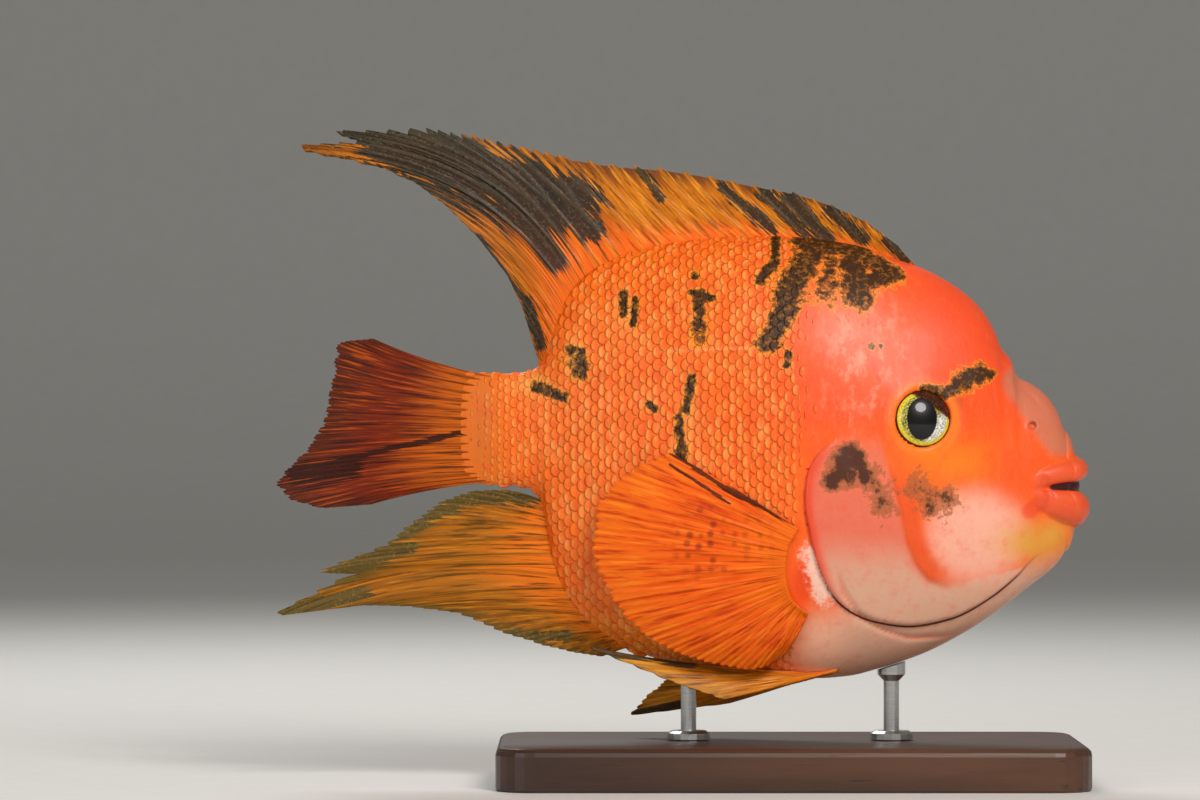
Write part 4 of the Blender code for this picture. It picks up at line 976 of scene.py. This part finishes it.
def eye_material():
    """A fish's eye: black pupil, silver and gold iris with a dark limbus, clear cornea."""
    material, tree, shader = new_material("fish eye")
    forward, high = read_attribute(tree, "forward"), read_attribute(tree, "high")
    across = math_node(tree, "DIVIDE", plus(tree, forward, 0.8), 3.9)
    tall = math_node(tree, "DIVIDE", plus(tree, high, 0.2), 5.4)
    oval = math_node(tree, "SQRT", plus(tree, times(tree, across, across), times(tree, tall, tall)))
    radius = math_node(tree, "SQRT", plus(tree, times(tree, forward, forward), times(tree, high, high)))
    grain = object_noise(tree, 2200.0, 4.0, 0.6)
    wander = scaled(tree, grain, 0.16, -0.08)
    silver = mix_colour(tree, ramp(tree, grain, 0.38, 0.62), linear("#4a4412"), linear("#c8bc5c"))
    lower = ramp(tree, math_node(tree, "SUBTRACT", forward, times(tree, high, 0.6)), 2.2, 4.6)
    chrome = mix_colour(tree, ramp(tree, grain, 0.35, 0.6), linear("#8e8a78"), linear("#efeee2"))
    silver = mix_colour(tree, lower, silver, chrome)
    outer = ramp(tree, plus(tree, radius, wander), 5.75, 6.15)
    gold = mix_colour(tree, ramp(tree, grain, 0.35, 0.65), linear("#c8b41c"), linear("#efe24a"))
    iris = mix_colour(tree, outer, silver, gold)
    iris = mix_colour(tree, ramp(tree, radius, 6.7, 6.95), iris, linear("#3c2408"))
    ahead = scaled(tree, forward, 0.55, times(tree, high, 0.85))
    brown = ramp(tree, plus(tree, ahead, scaled(tree, grain, 2.2, -1.1)), 3.3, 3.9)
    umber = mix_colour(tree, ramp(tree, grain, 0.50, 0.62), linear("#2a1404"), linear("#7c2c08"))
    iris = mix_colour(tree, brown, iris, umber)
    pupil = ramp(tree, plus(tree, oval, times(tree, wander, 0.4)), 1.02, 0.96)
    colour = mix_colour(tree, pupil, iris, linear("#070504"))
    finish_shader(tree, shader, colour, 0.32, grain, 0.02, 0.5, 0.2)
    shader.inputs["Coat Roughness"].default_value = 0.05
    shader.inputs["Metallic"].default_value = 0.0
    return material


eye_skin = eye_material()
for word, side in SIDES:
    eye = make_eye(word, side)
    eye.data.materials.append(eye_skin)
    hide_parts(f"eye_{word}")
    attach(eye, "root")
print("eyes:", len(eye.data.polygons), "faces each")

# %% [markdown]
# Every fin is one closed sheet. Its rays are read from a short table of root, tip and bow, and the
# places between them by the same smooth curve as the outline. Soft rays fork once or twice on their
# way out, and between two rays the edge is cut back, which gives the frayed margin.

# %% Rays and webs
DORSAL_RAYS = (
    (33.5, (27.5, 47.5), -0.04), (28.0, (19.0, 54.0), -0.04), (20.5, (10.5, 58.0), -0.04),
    (13.0, (0.5, 61.3), -0.05), (5.0, (-9.5, 63.0), -0.05), (-5.0, (-21.0, 65.5), -0.05),
    (-16.0, (-34.0, 67.6), -0.05), (-27.0, (-46.0, 68.6), -0.04), (-37.0, (-58.0, 70.6), -0.011),
    (-44.0, (-70.5, 73.2), 0.047), (-49.5, (-83.0, 76.2), 0.12), (-52.6, (-95.0, 78.0), 0.182),
    (-54.4, (-118.0, 77.3), 0.262), (-55.6, (-109.1, 74.7), 0.257), (-56.8, (-128.1, 73.4), 0.262),
    (-57.9, (-108.1, 69.4), 0.233), (-58.9, (-97.5, 64.7), 0.181), (-59.9, (-89.6, 58.9), 0.131),
    (-61.0, (-80.9, 50.4), 0.1), (-62.0, (-72.8, 40.2), 0.051), (-62.8, (-68.9, 32.0), 0.039),
    (-63.6, (-66.6, 24.5), 0.023), (-64.2, (-65.3, 20.0), 0.0),
)
SPINY_SHARE = 8 / 22
ANAL_RAYS = (
    (-41.0, (-48.5, -58.2), 0.03), (-45.0, (-56.0, -57.0), 0.051), (-48.5, (-64.5, -55.0), 0.062),
    (-51.5, (-75.0, -51.7), 0.062), (-54.0, (-86.0, -46.9), 0.05), (-56.5, (-99.0, -45.2), 0.039),
    (-58.3, (-111.0, -45.0), 0.051), (-59.6, (-135.0, -48.1), 0.159), (-60.6, (-114.0, -37.0), 0.042),
    (-61.3, (-123.0, -36.6), 0.051), (-61.9, (-105.0, -29.5), 0.039), (-62.4, (-96.0, -22.3), 0.04),
    (-62.9, (-89.5, -18.0), 0.051), (-63.3, (-82.0, -15.4), 0.049), (-63.9, (-73.0, -15.2), 0.06),
)
CAUDAL_RAYS = (
    (13.6, (-108.0, 23.8), -0.06), (11.5, (-116.3, 22.6), -0.05), (8.8, (-117.6, 17.5), -0.04),
    (6.0, (-118.6, 11.0), -0.02), (3.0, (-119.6, 5.0), 0.0), (0.0, (-121.5, 0.0), 0.02),
    (-3.0, (-124.5, -5.0), 0.03), (-6.0, (-129.5, -9.5), 0.04), (-8.8, (-132.8, -13.5), 0.05),
    (-11.0, (-129.5, -18.2), 0.05), (-12.4, (-121.0, -20.3), 0.06), (-13.2, (-108.0, -19.2), 0.05),
)
PECTORAL_ROOT = ((1.5, -25.0), (-1.2, -30.0), (-1.8, -36.0), (-0.5, -42.0), (4.0, -46.5))
PECTORAL_TIPS = (
    (-32.0, -5.0), (-43.5, -11.5), (-50.0, -19.0), (-51.5, -28.5), (-48.5, -38.5), (-42.5, -48.0),
    (-34.0, -54.5), (-23.0, -58.8), (-10.0, -61.0), (-1.5, -57.0),
)
PELVIC_RAYS = {
    "right": (
        (12.0, (-18.0, -68.6), -0.02, 8.0, 12.5), (10.5, (-31.0, -63.8), -0.03, 7.4, 12.5),
        (9.0, (-52.5, -55.0), -0.05, 6.8, 11.0), (7.5, (-41.0, -57.5), -0.04, 6.2, 8.5),
        (6.0, (-29.0, -60.6), -0.02, 5.6, 6.6), (4.5, (-16.0, -63.0), 0.0, 5.0, 5.2),
    ),
    "left": (
        (12.0, (-16.0, -71.0), -0.02, 8.0, 14.0), (10.5, (-41.5, -74.0), 0.02, 7.4, 15.0),
        (9.0, (-36.0, -68.0), 0.01, 6.8, 12.5), (7.5, (-32.0, -64.5), 0.0, 6.2, 9.5),
        (6.0, (-27.0, -63.2), 0.0, 5.6, 7.0), (4.5, (-16.0, -63.5), 0.0, 5.0, 5.2),
    ),
}


def read_pairs(pairs, share):
    """Start, end and bow of the ray at a share of the way through the pairs."""
    index = np.arange(len(pairs)) / (len(pairs) - 1)
    start = smooth_line(list(zip(index, [pair[0] for pair in pairs])), share)
    end_x = np.interp(share, index, [pair[1][0] for pair in pairs])
    end_z = np.interp(share, index, [pair[1][1] for pair in pairs])
    bow = smooth_line(list(zip(index, [pair[2] for pair in pairs])), share)
    return start, np.stack([end_x, end_z], axis=-1), bow


def branch_distance(count, v, forks):
    """The distance to the nearest ray branch, as a share of the space between rays.

    count runs over the rays, whole at each ray's middle. A ray forks where v passes each of forks.
    """
    away = count - np.round(count)
    for k, fork in enumerate(forks):
        spread = 0.25 / 2**k * smooth_step(fork, min(fork + 0.35, 1.0), v)
        away = np.abs(away) - spread
    return np.abs(away)


def fin_sheet(start, end, bow, rays, rows, forks, notch, root_half, ray_half, web_half, place_across,
              way=(0.0, 1.0, 0.0), wild=0.0):
    """Points of a fin's two faces, with its ray count, its share out, and how near a ray is."""
    columns = len(start)
    count = np.linspace(0.0, rays - 1, columns)
    rng = np.random.default_rng(5)
    ragged = np.interp(count, np.arange(rays * 4) / 4, rng.random(rays * 4)) * wild
    edge_away = branch_distance(count, np.ones(columns), forks)
    short = notch * smooth_step(0.0, 0.16, edge_away) + ragged
    end = start + (end - start) * (1 - short)[:, None]
    chord = end - start
    aside = np.stack([-chord[:, 1], chord[:, 0]], axis=1)
    control = (start + end) / 2 - aside * bow[:, None]
    v = (np.linspace(0.0, 1.0, rows) ** 0.92)[:, None]
    flat = (start[None] * ((1 - v) ** 2)[..., None] + control[None] * (2 * v * (1 - v))[..., None]
            + end[None] * (v**2)[..., None])
    x, z = flat[..., 0], flat[..., 1]
    near = np.exp(-((branch_distance(count[None], v, forks) / 0.13) ** 2)) + 0 * v
    beads = 1 + 0.10 * np.sin(v * rows * 1.3)
    blade = web_half + (ray_half - web_half) * near * (1 - 0.55 * v) * beads
    taper = 1 - 0.55 * smooth_step(0.55, 1.0, v)
    half = blade * taper + (root_half - blade) * smooth_step(0.16, 0.0, v)
    y = place_across(x, z, v + 0 * x, half)
    middle = np.stack([x, y, z], axis=2)
    sideways = half[..., None] * np.array(way)
    return middle - sideways, middle + sideways, count[None] + 0 * v, v + 0 * x, near


def make_fin(name, faces, material):
    """A closed mesh from the two faces of a fin, with what its material reads."""
    right, left, count, out, near = faces
    rows, columns = out.shape
    total = rows * columns
    quads = net_faces(rows, columns)
    edge = np.concatenate([
        np.arange(columns), np.arange(1, rows) * columns + columns - 1,
        (rows - 1) * columns + np.arange(columns - 2, -1, -1), np.arange(rows - 2, 0, -1) * columns])
    after = np.roll(edge, -1)
    rim = np.stack([after, edge, edge + total, after + total], axis=1)
    points = np.concatenate([right.reshape(-1, 3), left.reshape(-1, 3)])
    every = np.concatenate([quads, quads[:, ::-1] + total, rim])
    facing = np.cross(right[1, 1] - right[0, 0], right[1, 0] - right[0, 1]).dot(right[0, 0] - left[0, 0])
    if facing < 0:
        every = every[:, ::-1]
    obj = make_mesh(name, points, every)
    add_numbers(obj, "ray_near", np.tile(near.ravel(), 2))
    add_numbers(obj, "out", np.tile(out.ravel(), 2))
    add_numbers(obj, "count", np.tile(count.ravel(), 2))
    obj.data.materials.append(material)
    return obj


print("fin tables:", len(DORSAL_RAYS), "dorsal,", len(ANAL_RAYS), "anal,", len(CAUDAL_RAYS), "caudal")

# %% [markdown]
# A fin's membrane is thin skin stained along its rays. The recipe takes a root, a middle and an edge
# colour, draws fine streaks that follow the rays by noise in ray coordinates, marks the joints of the
# soft rays and lays on dark patches that the fin's own field tells.

# %% The fins' material
def fin_material(name, root, middle, edge, ray, streak, patch, patch_fine, bright="#ffb040", wet=0.08,
                 turns=(0.04, 0.42), dotted=False):
    """Fin skin between bony rays. patch is the colour of the dark field, patch_fine its lighter fleck.

    turns tells between which shares of the way out the root's colour gives way to the middle's.
    dotted adds rows of small dark red spots where the fin's dots field says so.
    """
    material, tree, shader = new_material(name)
    out, count = read_attribute(tree, "out"), read_attribute(tree, "count")
    near, field = read_attribute(tree, "ray_near"), read_attribute(tree, "patch")
    place = add_node(tree, "ShaderNodeCombineXYZ", {0: times(tree, count, 6.0), 1: times(tree, out, 3.0)}).outputs[0]
    lines = add_node(tree, "ShaderNodeTexNoise", {
        "Vector": place, "Scale": 1.0, "Detail": 4.0, "Roughness": 0.6}).outputs["Fac"]
    wide = add_node(tree, "ShaderNodeTexNoise", {
        "Vector": place, "Scale": 0.35, "Detail": 3.0, "Roughness": 0.6}).outputs["Fac"]
    grain = object_noise(tree, 1500.0, 3.0, 0.6)
    shifted = plus(tree, out, scaled(tree, wide, 0.5, -0.25))
    colour = mix_colour(tree, ramp(tree, shifted, *turns), linear(root), linear(middle))
    colour = mix_colour(tree, ramp(tree, shifted, 0.72, 1.0), colour, linear(edge))
    colour = mix_colour(tree, times(tree, near, 0.55), colour, linear(ray))
    dark = times(tree, ramp(tree, lines, 0.50, 0.64), 0.85)
    colour = mix_colour(tree, dark, colour, linear(streak))
    light = times(tree, ramp(tree, lines, 0.46, 0.34), 0.60)
    colour = mix_colour(tree, light, colour, linear(bright))
    if dotted:
        flat = add_node(tree, "ShaderNodeMapping", {
            0: add_node(tree, "ShaderNodeTexCoord").outputs["Object"], "Scale": (1.0, 0.0, 1.0)}).outputs[0]
        cells = add_node(tree, "ShaderNodeTexVoronoi", {"Vector": flat, "Scale": 330.0, "Randomness": 0.45})
        spots = times(tree, ramp(tree, cells.outputs["Distance"], 0.42, 0.14), read_attribute(tree, "dots"))
        colour = mix_colour(tree, spots, colour, linear("#8c1c04"))
    level = plus(tree, field, scaled(tree, lines, 3.4, -1.7))
    fleck = mix_colour(tree, ramp(tree, grain, 0.52, 0.72), linear(patch), linear(patch_fine))
    fleck = mix_colour(tree, times(tree, near, 0.35), fleck, linear(patch_fine))
    colour = mix_colour(tree, times(tree, ramp(tree, level, 0.0, 0.16), 0.93), colour, fleck)
    joints = add_node(tree, "ShaderNodeTexWave", {
        "Vector": place, "Scale": 10.0, "Distortion": 1.5, "Detail": 1.0}, bands_direction="Y").outputs["Fac"]
    ridge = plus(tree, times(tree, joints, 0.25), times(tree, lines, 0.75))
    finish_shader(tree, shader, colour, scaled(tree, grain, 0.2, 0.36), ridge, 0.12, wet, 0.14)
    return material


amber = fin_material(
    "amber fin skin", "#f8641a", "#c87006", "#6e3c14", "#e68a1c", "#8c4404", "#24221a", "#5c5236", "#ffa42c",
    turns=(0.02, 0.36))
olive = fin_material(
    "olive fin skin", "#f0640e", "#b05c06", "#4e2c14", "#d47c1c", "#6c3804", "#1c1f1a", "#4e4f40", "#ee9020")
anal_skin = fin_material(
    "anal fin skin", "#f27408", "#b06608", "#6c5a22", "#7c4606", "#523804", "#4a3c18", "#8a7034", "#dc8c1c")
red = fin_material(
    "tail fin skin", "#c85e04", "#822602", "#5c2404", "#521602", "#300a02", "#220801", "#4c1a04", "#d45c08",
    turns=(0.20, 0.62))
orange = fin_material(
    "pectoral fin skin", "#fa6e0c", "#f05804", "#e86004", "#f87410", "#c23602", "#3c1204", "#6c2808",
    "#fc8a1c", dotted=True)
pelvic_skin = fin_material(
    "pelvic fin skin", "#f0700c", "#d87c08", "#c08a2c", "#c86c0c", "#6c3c06", "#2e2416", "#5e5038")
print("fin materials:", 6)

# %% [markdown]
# The fields below say where each fin is darkened: the grey sheet over the rear of the dorsal fin, the
# streaks at its front, the upper edge of the anal fin, the lower lobe of the tail.

# %% Where the fins are dark
DORSAL_DARK = (
    (-104.0, 74.5, -62.0, 55.5, 8.5), (-92.0, 73.5, -53.0, 59.0, 6.0), (-64.0, 64.0, -51.5, 51.5, 4.2),
    (-66.0, 52.0, -60.0, 44.0, 4.0), (-118.0, 75.5, -96.0, 74.0, 2.2), (-38.5, 66.5, -33.0, 59.5, 1.4),
    (-17.4, 62.2, -4.6, 51.5, 1.7), (-6.5, 61.5, 4.0, 50.5, 2.2), (0.0, 59.5, 9.0, 49.0, 2.6),
    (10.0, 56.5, 19.0, 49.0, 1.9), (25.0, 49.0, 29.5, 43.5, 1.6), (-67.5, 33.0, -64.0, 22.0, 1.8),
    (-80.0, 50.0, -68.0, 33.0, 0.8),
)
ANAL_DARK = (
    (-88.0, -17.0, -66.0, -17.0, 2.6), (-104.0, -28.0, -86.0, -19.0, 2.6), (-118.0, -37.0, -98.0, -30.0, 2.6),
    (-72.0, -53.0, -58.0, -53.0, 1.9), (-131.0, -46.8, -108.0, -42.0, 1.6),
)
CAUDAL_DARK = (
    (-116.0, -8.0, -84.0, -0.6, 0.9), (-127.0, -11.5, -112.0, -9.5, 3.0),
)
PECTORAL_DARK = (
    (3.0, -25.0, -17.0, -14.5, 0.8), (-17.0, -14.5, -31.5, -5.0, 0.6), (-31.0, -8.6, -16.0, -18.4, 0.42),
)
PELVIC_DARK = ((-54.0, -55.5, -26.0, -59.0, 2.0), (-44.0, -74.5, -26.0, -71.0, 1.6))


def add_patch(obj, table):
    """The fin's dark field, and its dotted one, as numbers on its points."""
    points = np.empty(len(obj.data.vertices) * 3)
    obj.data.vertices.foreach_get("co", points)
    points = points.reshape(-1, 3) / MM
    x, z = points[:, 0], points[:, 2] - AXIS_HEIGHT
    add_numbers(obj, "patch", stroke_level(x, z, table))
    dots = 0.7 * spot(x, z, -21.0, -27.5, 9.5, 9.5, 4.0) + 0.5 * spot(x, z, -8.0, -27.0, 3.0, 5.0)
    add_numbers(obj, "dots", dots)


# %% [markdown]
# The dorsal fin runs from the nape to the tail stalk in two lengths, stiff spines in front and soft
# rays behind, whose longest trail off in two tips. Its root follows the back line, sunk a little into
# the scaled skin so that no gap shows.

# %% Dorsal and anal fins
def back_root(place, top, sunk=0.6):
    """Points on the back or belly line, sunk into the skin."""
    height = smooth_line(BACK_LINE if top else BELLY_LINE, place)
    slope = (smooth_line(BACK_LINE if top else BELLY_LINE, place + 0.4)
             - smooth_line(BACK_LINE if top else BELLY_LINE, place - 0.4)) / 0.8
    way = -1.0 if top else 1.0
    into = way * np.stack([-slope, np.ones_like(slope)], axis=-1) / np.sqrt(1 + slope**2)[..., None]
    return np.stack([place, height], axis=-1) + into * sunk


def dorsal_sway(x, z, v, half):
    """How far the trailing end of the dorsal fin leans to the left."""
    return 0.0006 * np.maximum(-x - 60.0, 0.0) ** 2


def anal_sway(x, z, v, half):
    """How far the trailing end of the anal fin leans to the right."""
    return -0.0005 * np.maximum(-x - 62.0, 0.0) ** 2


def median_fin(name, pairs, low, high, rays, top, per_ray, rows, sway, material, forks, notch, wild):
    """A fin on the middle line: the rays from low to high of the pairs, with per_ray columns each."""
    share = np.linspace(low, high, (rays - 1) * per_ray + 1)
    start_x, end, bow = read_pairs(pairs, share)
    start = back_root(start_x, top)
    sheet = fin_sheet(start, end, bow, rays, rows, forks, notch, 1.3, 0.62, 0.26, sway, wild=wild)
    return make_fin(name, sheet, material)


spiny = median_fin("dorsal_spines", DORSAL_RAYS, 0.0, SPINY_SHARE, 17, True, 12, 70, dorsal_sway, amber,
                   (), 0.05, 0.015)
soft = median_fin("dorsal_trail", DORSAL_RAYS, SPINY_SHARE, 1.0, 15, True, 16, 110, dorsal_sway, olive,
                  (0.35, 0.68), 0.05, 0.015)
anal = median_fin("anal_fin_skin", ANAL_RAYS, 0.0, 1.0, 15, False, 16, 110, anal_sway, anal_skin,
                  (0.35, 0.68), 0.05, 0.03)
for fin, node, table, slot in ((spiny, "dorsal_fin_spiny", DORSAL_DARK, "fin_amber"),
                               (soft, "dorsal_fin_soft", DORSAL_DARK, "fin_olive"),
                               (anal, "anal_fin", ANAL_DARK, "fin_amber")):
    add_patch(fin, table)
    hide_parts(node)
    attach(fin, "root")
    print(fin.name, len(fin.data.polygons), "faces")

# %% [markdown]
# The tail fin is a fan with a longer lower lobe. Its root is hidden in the wedge of the tail stalk,
# and the whole fan swings a little to the left, as a fish's tail does while it hangs in the water.

# %% Tail fin
def caudal_sway(x, z, v, half):
    """How far the tail fin swings to the left."""
    return 0.0022 * np.maximum(-78.0 - x, 0.0) ** 2


caudal_share = np.linspace(0.0, 1.0, 16 * 14 + 1)
root_z, caudal_end, caudal_bow = read_pairs(CAUDAL_RAYS, caudal_share)
caudal_start = np.stack([np.full_like(root_z, TAIL_ROOT), root_z], axis=1)
caudal_sheet = fin_sheet(caudal_start, caudal_end, caudal_bow, 17, 110, (0.3, 0.6), 0.016,
                         0.7, 0.6, 0.26, caudal_sway, wild=0.03)
caudal = make_fin("tail_fin_skin", caudal_sheet, red)
add_patch(caudal, CAUDAL_DARK)
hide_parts("caudal_fin")
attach(caudal, "root")
print(caudal.name, len(caudal.data.polygons), "faces")

# %% [markdown]
# The pectoral fins spread over the flanks like open fans, a little clear of the scales. The pelvic
# fins fold back under the belly, the left one lower than the right.

# %% Paired fins
def make_pectoral(word, side):
    """The fan over one flank, kept clear of the scales all the way out."""
    per_ray, rays = 16, 13
    columns = (rays - 1) * per_ray + 1
    start, end = finer(PECTORAL_ROOT, columns), finer(PECTORAL_TIPS, columns)
    bow = np.linspace(0.03, -0.05, columns)
    root_width = half_width_at(start[:, 0], start[:, 1])[None, :]

    def across(x, z, v, half):
        away = root_width + 0.1 + half - 4.0 * v * v
        clear = half_width_at(x, z) + 0.55 + half
        return side * np.maximum(away, clear)
    sheet = fin_sheet(start, end, bow, rays, 80, (0.3, 0.6), 0.03, 0.6, 0.36, 0.2, across, wild=0.02)
    return make_fin(f"pectoral_skin_{word}", sheet, orange)


def underside_at(x, y):
    """The height of the underside of the body at a place and distance from its middle."""
    cosine = np.clip(np.abs(y) / smooth_line(HALF_WIDTH, x), 0.0, 1.0) ** (1 / roundness(x, -1.0))
    return middle_height(x) - half_height(x) * np.sqrt(1 - cosine * cosine)


def make_pelvic(word, side):
    """One folded fin under the belly."""
    pairs = PELVIC_RAYS[word]
    per_ray = 20
    share = np.linspace(0.0, 1.0, (len(pairs) - 1) * per_ray + 1)
    start_x, end, bow = read_pairs(pairs, share)
    index = np.arange(len(pairs)) / (len(pairs) - 1)
    root_out = np.interp(share, index, [pair[3] for pair in pairs])
    tip_out = np.interp(share, index, [pair[4] for pair in pairs])
    start = np.stack([start_x, underside_at(start_x, root_out) - 0.2], axis=1)

    def across(x, z, v, half):
        return side * (root_out + (tip_out - root_out) * v)
    sheet = fin_sheet(start, end, bow, len(pairs), 90, (0.3, 0.6), 0.02, 0.6, 0.5, 0.22, across,
                      np.array((0.0, 0.41 * side, 0.91)), 0.02)
    return make_fin(f"pelvic_skin_{word}", sheet, pelvic_skin)


for word, side in SIDES:
    pectoral, pelvic = make_pectoral(word, side), make_pelvic(word, side)
    for fin, node, slot, table in ((pectoral, "pectoral_fin", "fin_orange", PECTORAL_DARK),
                                   (pelvic, "pelvic_fin", "fin_amber", PELVIC_DARK)):
        add_patch(fin, table)
        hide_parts(f"{node}_{word}")
        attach(fin, "root")
        print(fin.name, len(fin.data.polygons), "faces")

# %% [markdown]
# The stand is plain: an oiled walnut block and two steel rods. Both keep the frame's own shapes and
# only take a finish. The grain runs along the block, in long bands with fine pores.

# %% The stand
def walnut():
    """Oiled walnut: long bands along X, fine dark pores, a satin surface."""
    material, tree, shader = new_material("oiled walnut")
    bands = object_noise(tree, 60.0, 4.0, 0.6, (0.12, 1.0, 1.0))
    place = add_node(tree, "ShaderNodeTexCoord").outputs["Object"]
    drawn = add_node(tree, "ShaderNodeMapping", {0: place, "Scale": (0.1, 1.0, 1.0)}).outputs[0]
    rings = add_node(tree, "ShaderNodeTexWave", {
        "Vector": drawn, "Scale": 34.0, "Distortion": 7.0, "Detail": 3.0, "Detail Scale": 1.4},
        bands_direction="Y").outputs["Fac"]
    pores = object_noise(tree, 900.0, 3.0, 0.7, (0.04, 1.0, 1.0))
    colour = mix_colour(tree, ramp(tree, bands, 0.3, 0.7), linear("#3a2012"), linear("#5c3820"))
    colour = mix_colour(tree, times(tree, rings, 0.5), colour, linear("#2a160c"))
    colour = mix_colour(tree, ramp(tree, pores, 0.62, 0.72), colour, linear("#180c06"))
    finish_shader(tree, shader, colour, scaled(tree, pores, 0.2, 0.3), pores, -0.06, 0.15)
    return material


def brushed_steel():
    """Stainless steel, brushed round the rod."""
    material, tree, shader = new_material("brushed stainless steel")
    lines = object_noise(tree, 4000.0, 2.0, 0.5, (0.05, 0.05, 1.0))
    colour = mix_colour(tree, lines, linear("#a8a8a6"), linear("#d2d2d0"))
    shader.inputs["Metallic"].default_value = 1.0
    finish_shader(tree, shader, colour, scaled(tree, lines, 0.2, 0.22), lines, 0.01)
    return material


wood, steel = walnut(), brushed_steel()
for name, material in (("stand_base", wood), ("stand_rod_front", steel), ("stand_rod_rear", steel)):
    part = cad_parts[name]
    part.data.materials.clear()
    part.data.materials.append(material)

# %% [markdown]
# The picture is taken from the fish's right side with a long lens, square on, so that heights and
# lengths read true. Two soft lamps stand in front, to the right and the left, and one behind gives
# the fins their bright edge.

# %% Floor, lamps and camera
def soft_lamp(name, place, target, size, power, colour=(1.0, 1.0, 1.0)):
    """A round area lamp that faces its target."""
    lamp = bpy.data.lights.new(name, "AREA")
    lamp.shape = "DISK"
    lamp.size, lamp.energy, lamp.color = size, power, colour
    obj = bpy.data.objects.new(name, lamp)
    bpy.context.scene.collection.objects.link(obj)
    away = np.array(target) - np.array(place)
    turn = math.atan2(away[1], away[0])
    tilt = math.atan2(math.hypot(away[0], away[1]), -away[2])
    obj.location = place
    obj.rotation_euler = (tilt, 0.0, turn - math.pi / 2)


def make_floor():
    """A floor that rises behind the model in one soft curve."""
    run = np.array([-3.2, 2.3, 2.6, 2.85, 3.0, 3.08, 3.1, 3.1])
    rise = np.array([0.0, 0.0, 0.03, 0.13, 0.28, 0.5, 0.9, 3.0])
    across = np.array([-4.0, 4.0])
    points = np.stack(np.broadcast_arrays(across[None], run[:, None], rise[:, None]), axis=2)
    points = points.reshape(-1, 3) / MM - (0.0, 0.0, AXIS_HEIGHT)
    floor = make_mesh("floor", points, net_faces(len(run), 2)[:, ::-1])
    material, tree, shader = new_material("pale matt paper")
    grain = object_noise(tree, 90.0, 2.0, 0.5)
    colour = mix_colour(tree, grain, linear("#d9d7d2"), linear("#dfddd8"))
    finish_shader(tree, shader, colour, 0.85, grain, 0.02)
    floor.data.materials.append(material)
    return floor


make_floor()
soft_lamp("key lamp", (0.35, -0.9, 0.75), (0.0, 0.0, 0.09), 0.5, 10.5, (1.0, 0.98, 0.95))
soft_lamp("fill lamp", (-0.8, -0.9, 0.35), (0.0, 0.0, 0.09), 0.7, 2.6, (0.96, 0.98, 1.0))
soft_lamp("back lamp", (-0.2, 0.7, 0.8), (0.0, 0.0, 0.1), 0.5, 5.0)
world = bpy.data.worlds.new("studio")
world.use_nodes = True
world.node_tree.nodes["Background"].inputs[0].default_value = (0.95, 0.94, 0.92, 1.0)
world.node_tree.nodes["Background"].inputs[1].default_value = 0.22
bpy.context.scene.world = world
bpy.context.scene.view_settings.view_transform = "Standard"

CAMERA_AIM = (-0.0487, 0.0, 0.0982)
CAMERA_DISTANCE = 1.5
camera = bpy.data.cameras.new("camera")
camera.lens, camera.sensor_width = 36.0 * CAMERA_DISTANCE / 0.3077, 36.0
camera.clip_start = 0.05
eye_of_camera = bpy.data.objects.new("camera", camera)
eye_of_camera.location = (CAMERA_AIM[0], -CAMERA_DISTANCE, CAMERA_AIM[2])
eye_of_camera.rotation_euler = (math.pi / 2, 0.0, 0.0)
bpy.context.scene.collection.objects.link(eye_of_camera)
bpy.context.scene.camera = eye_of_camera
print("lens:", round(camera.lens, 1), "mm")
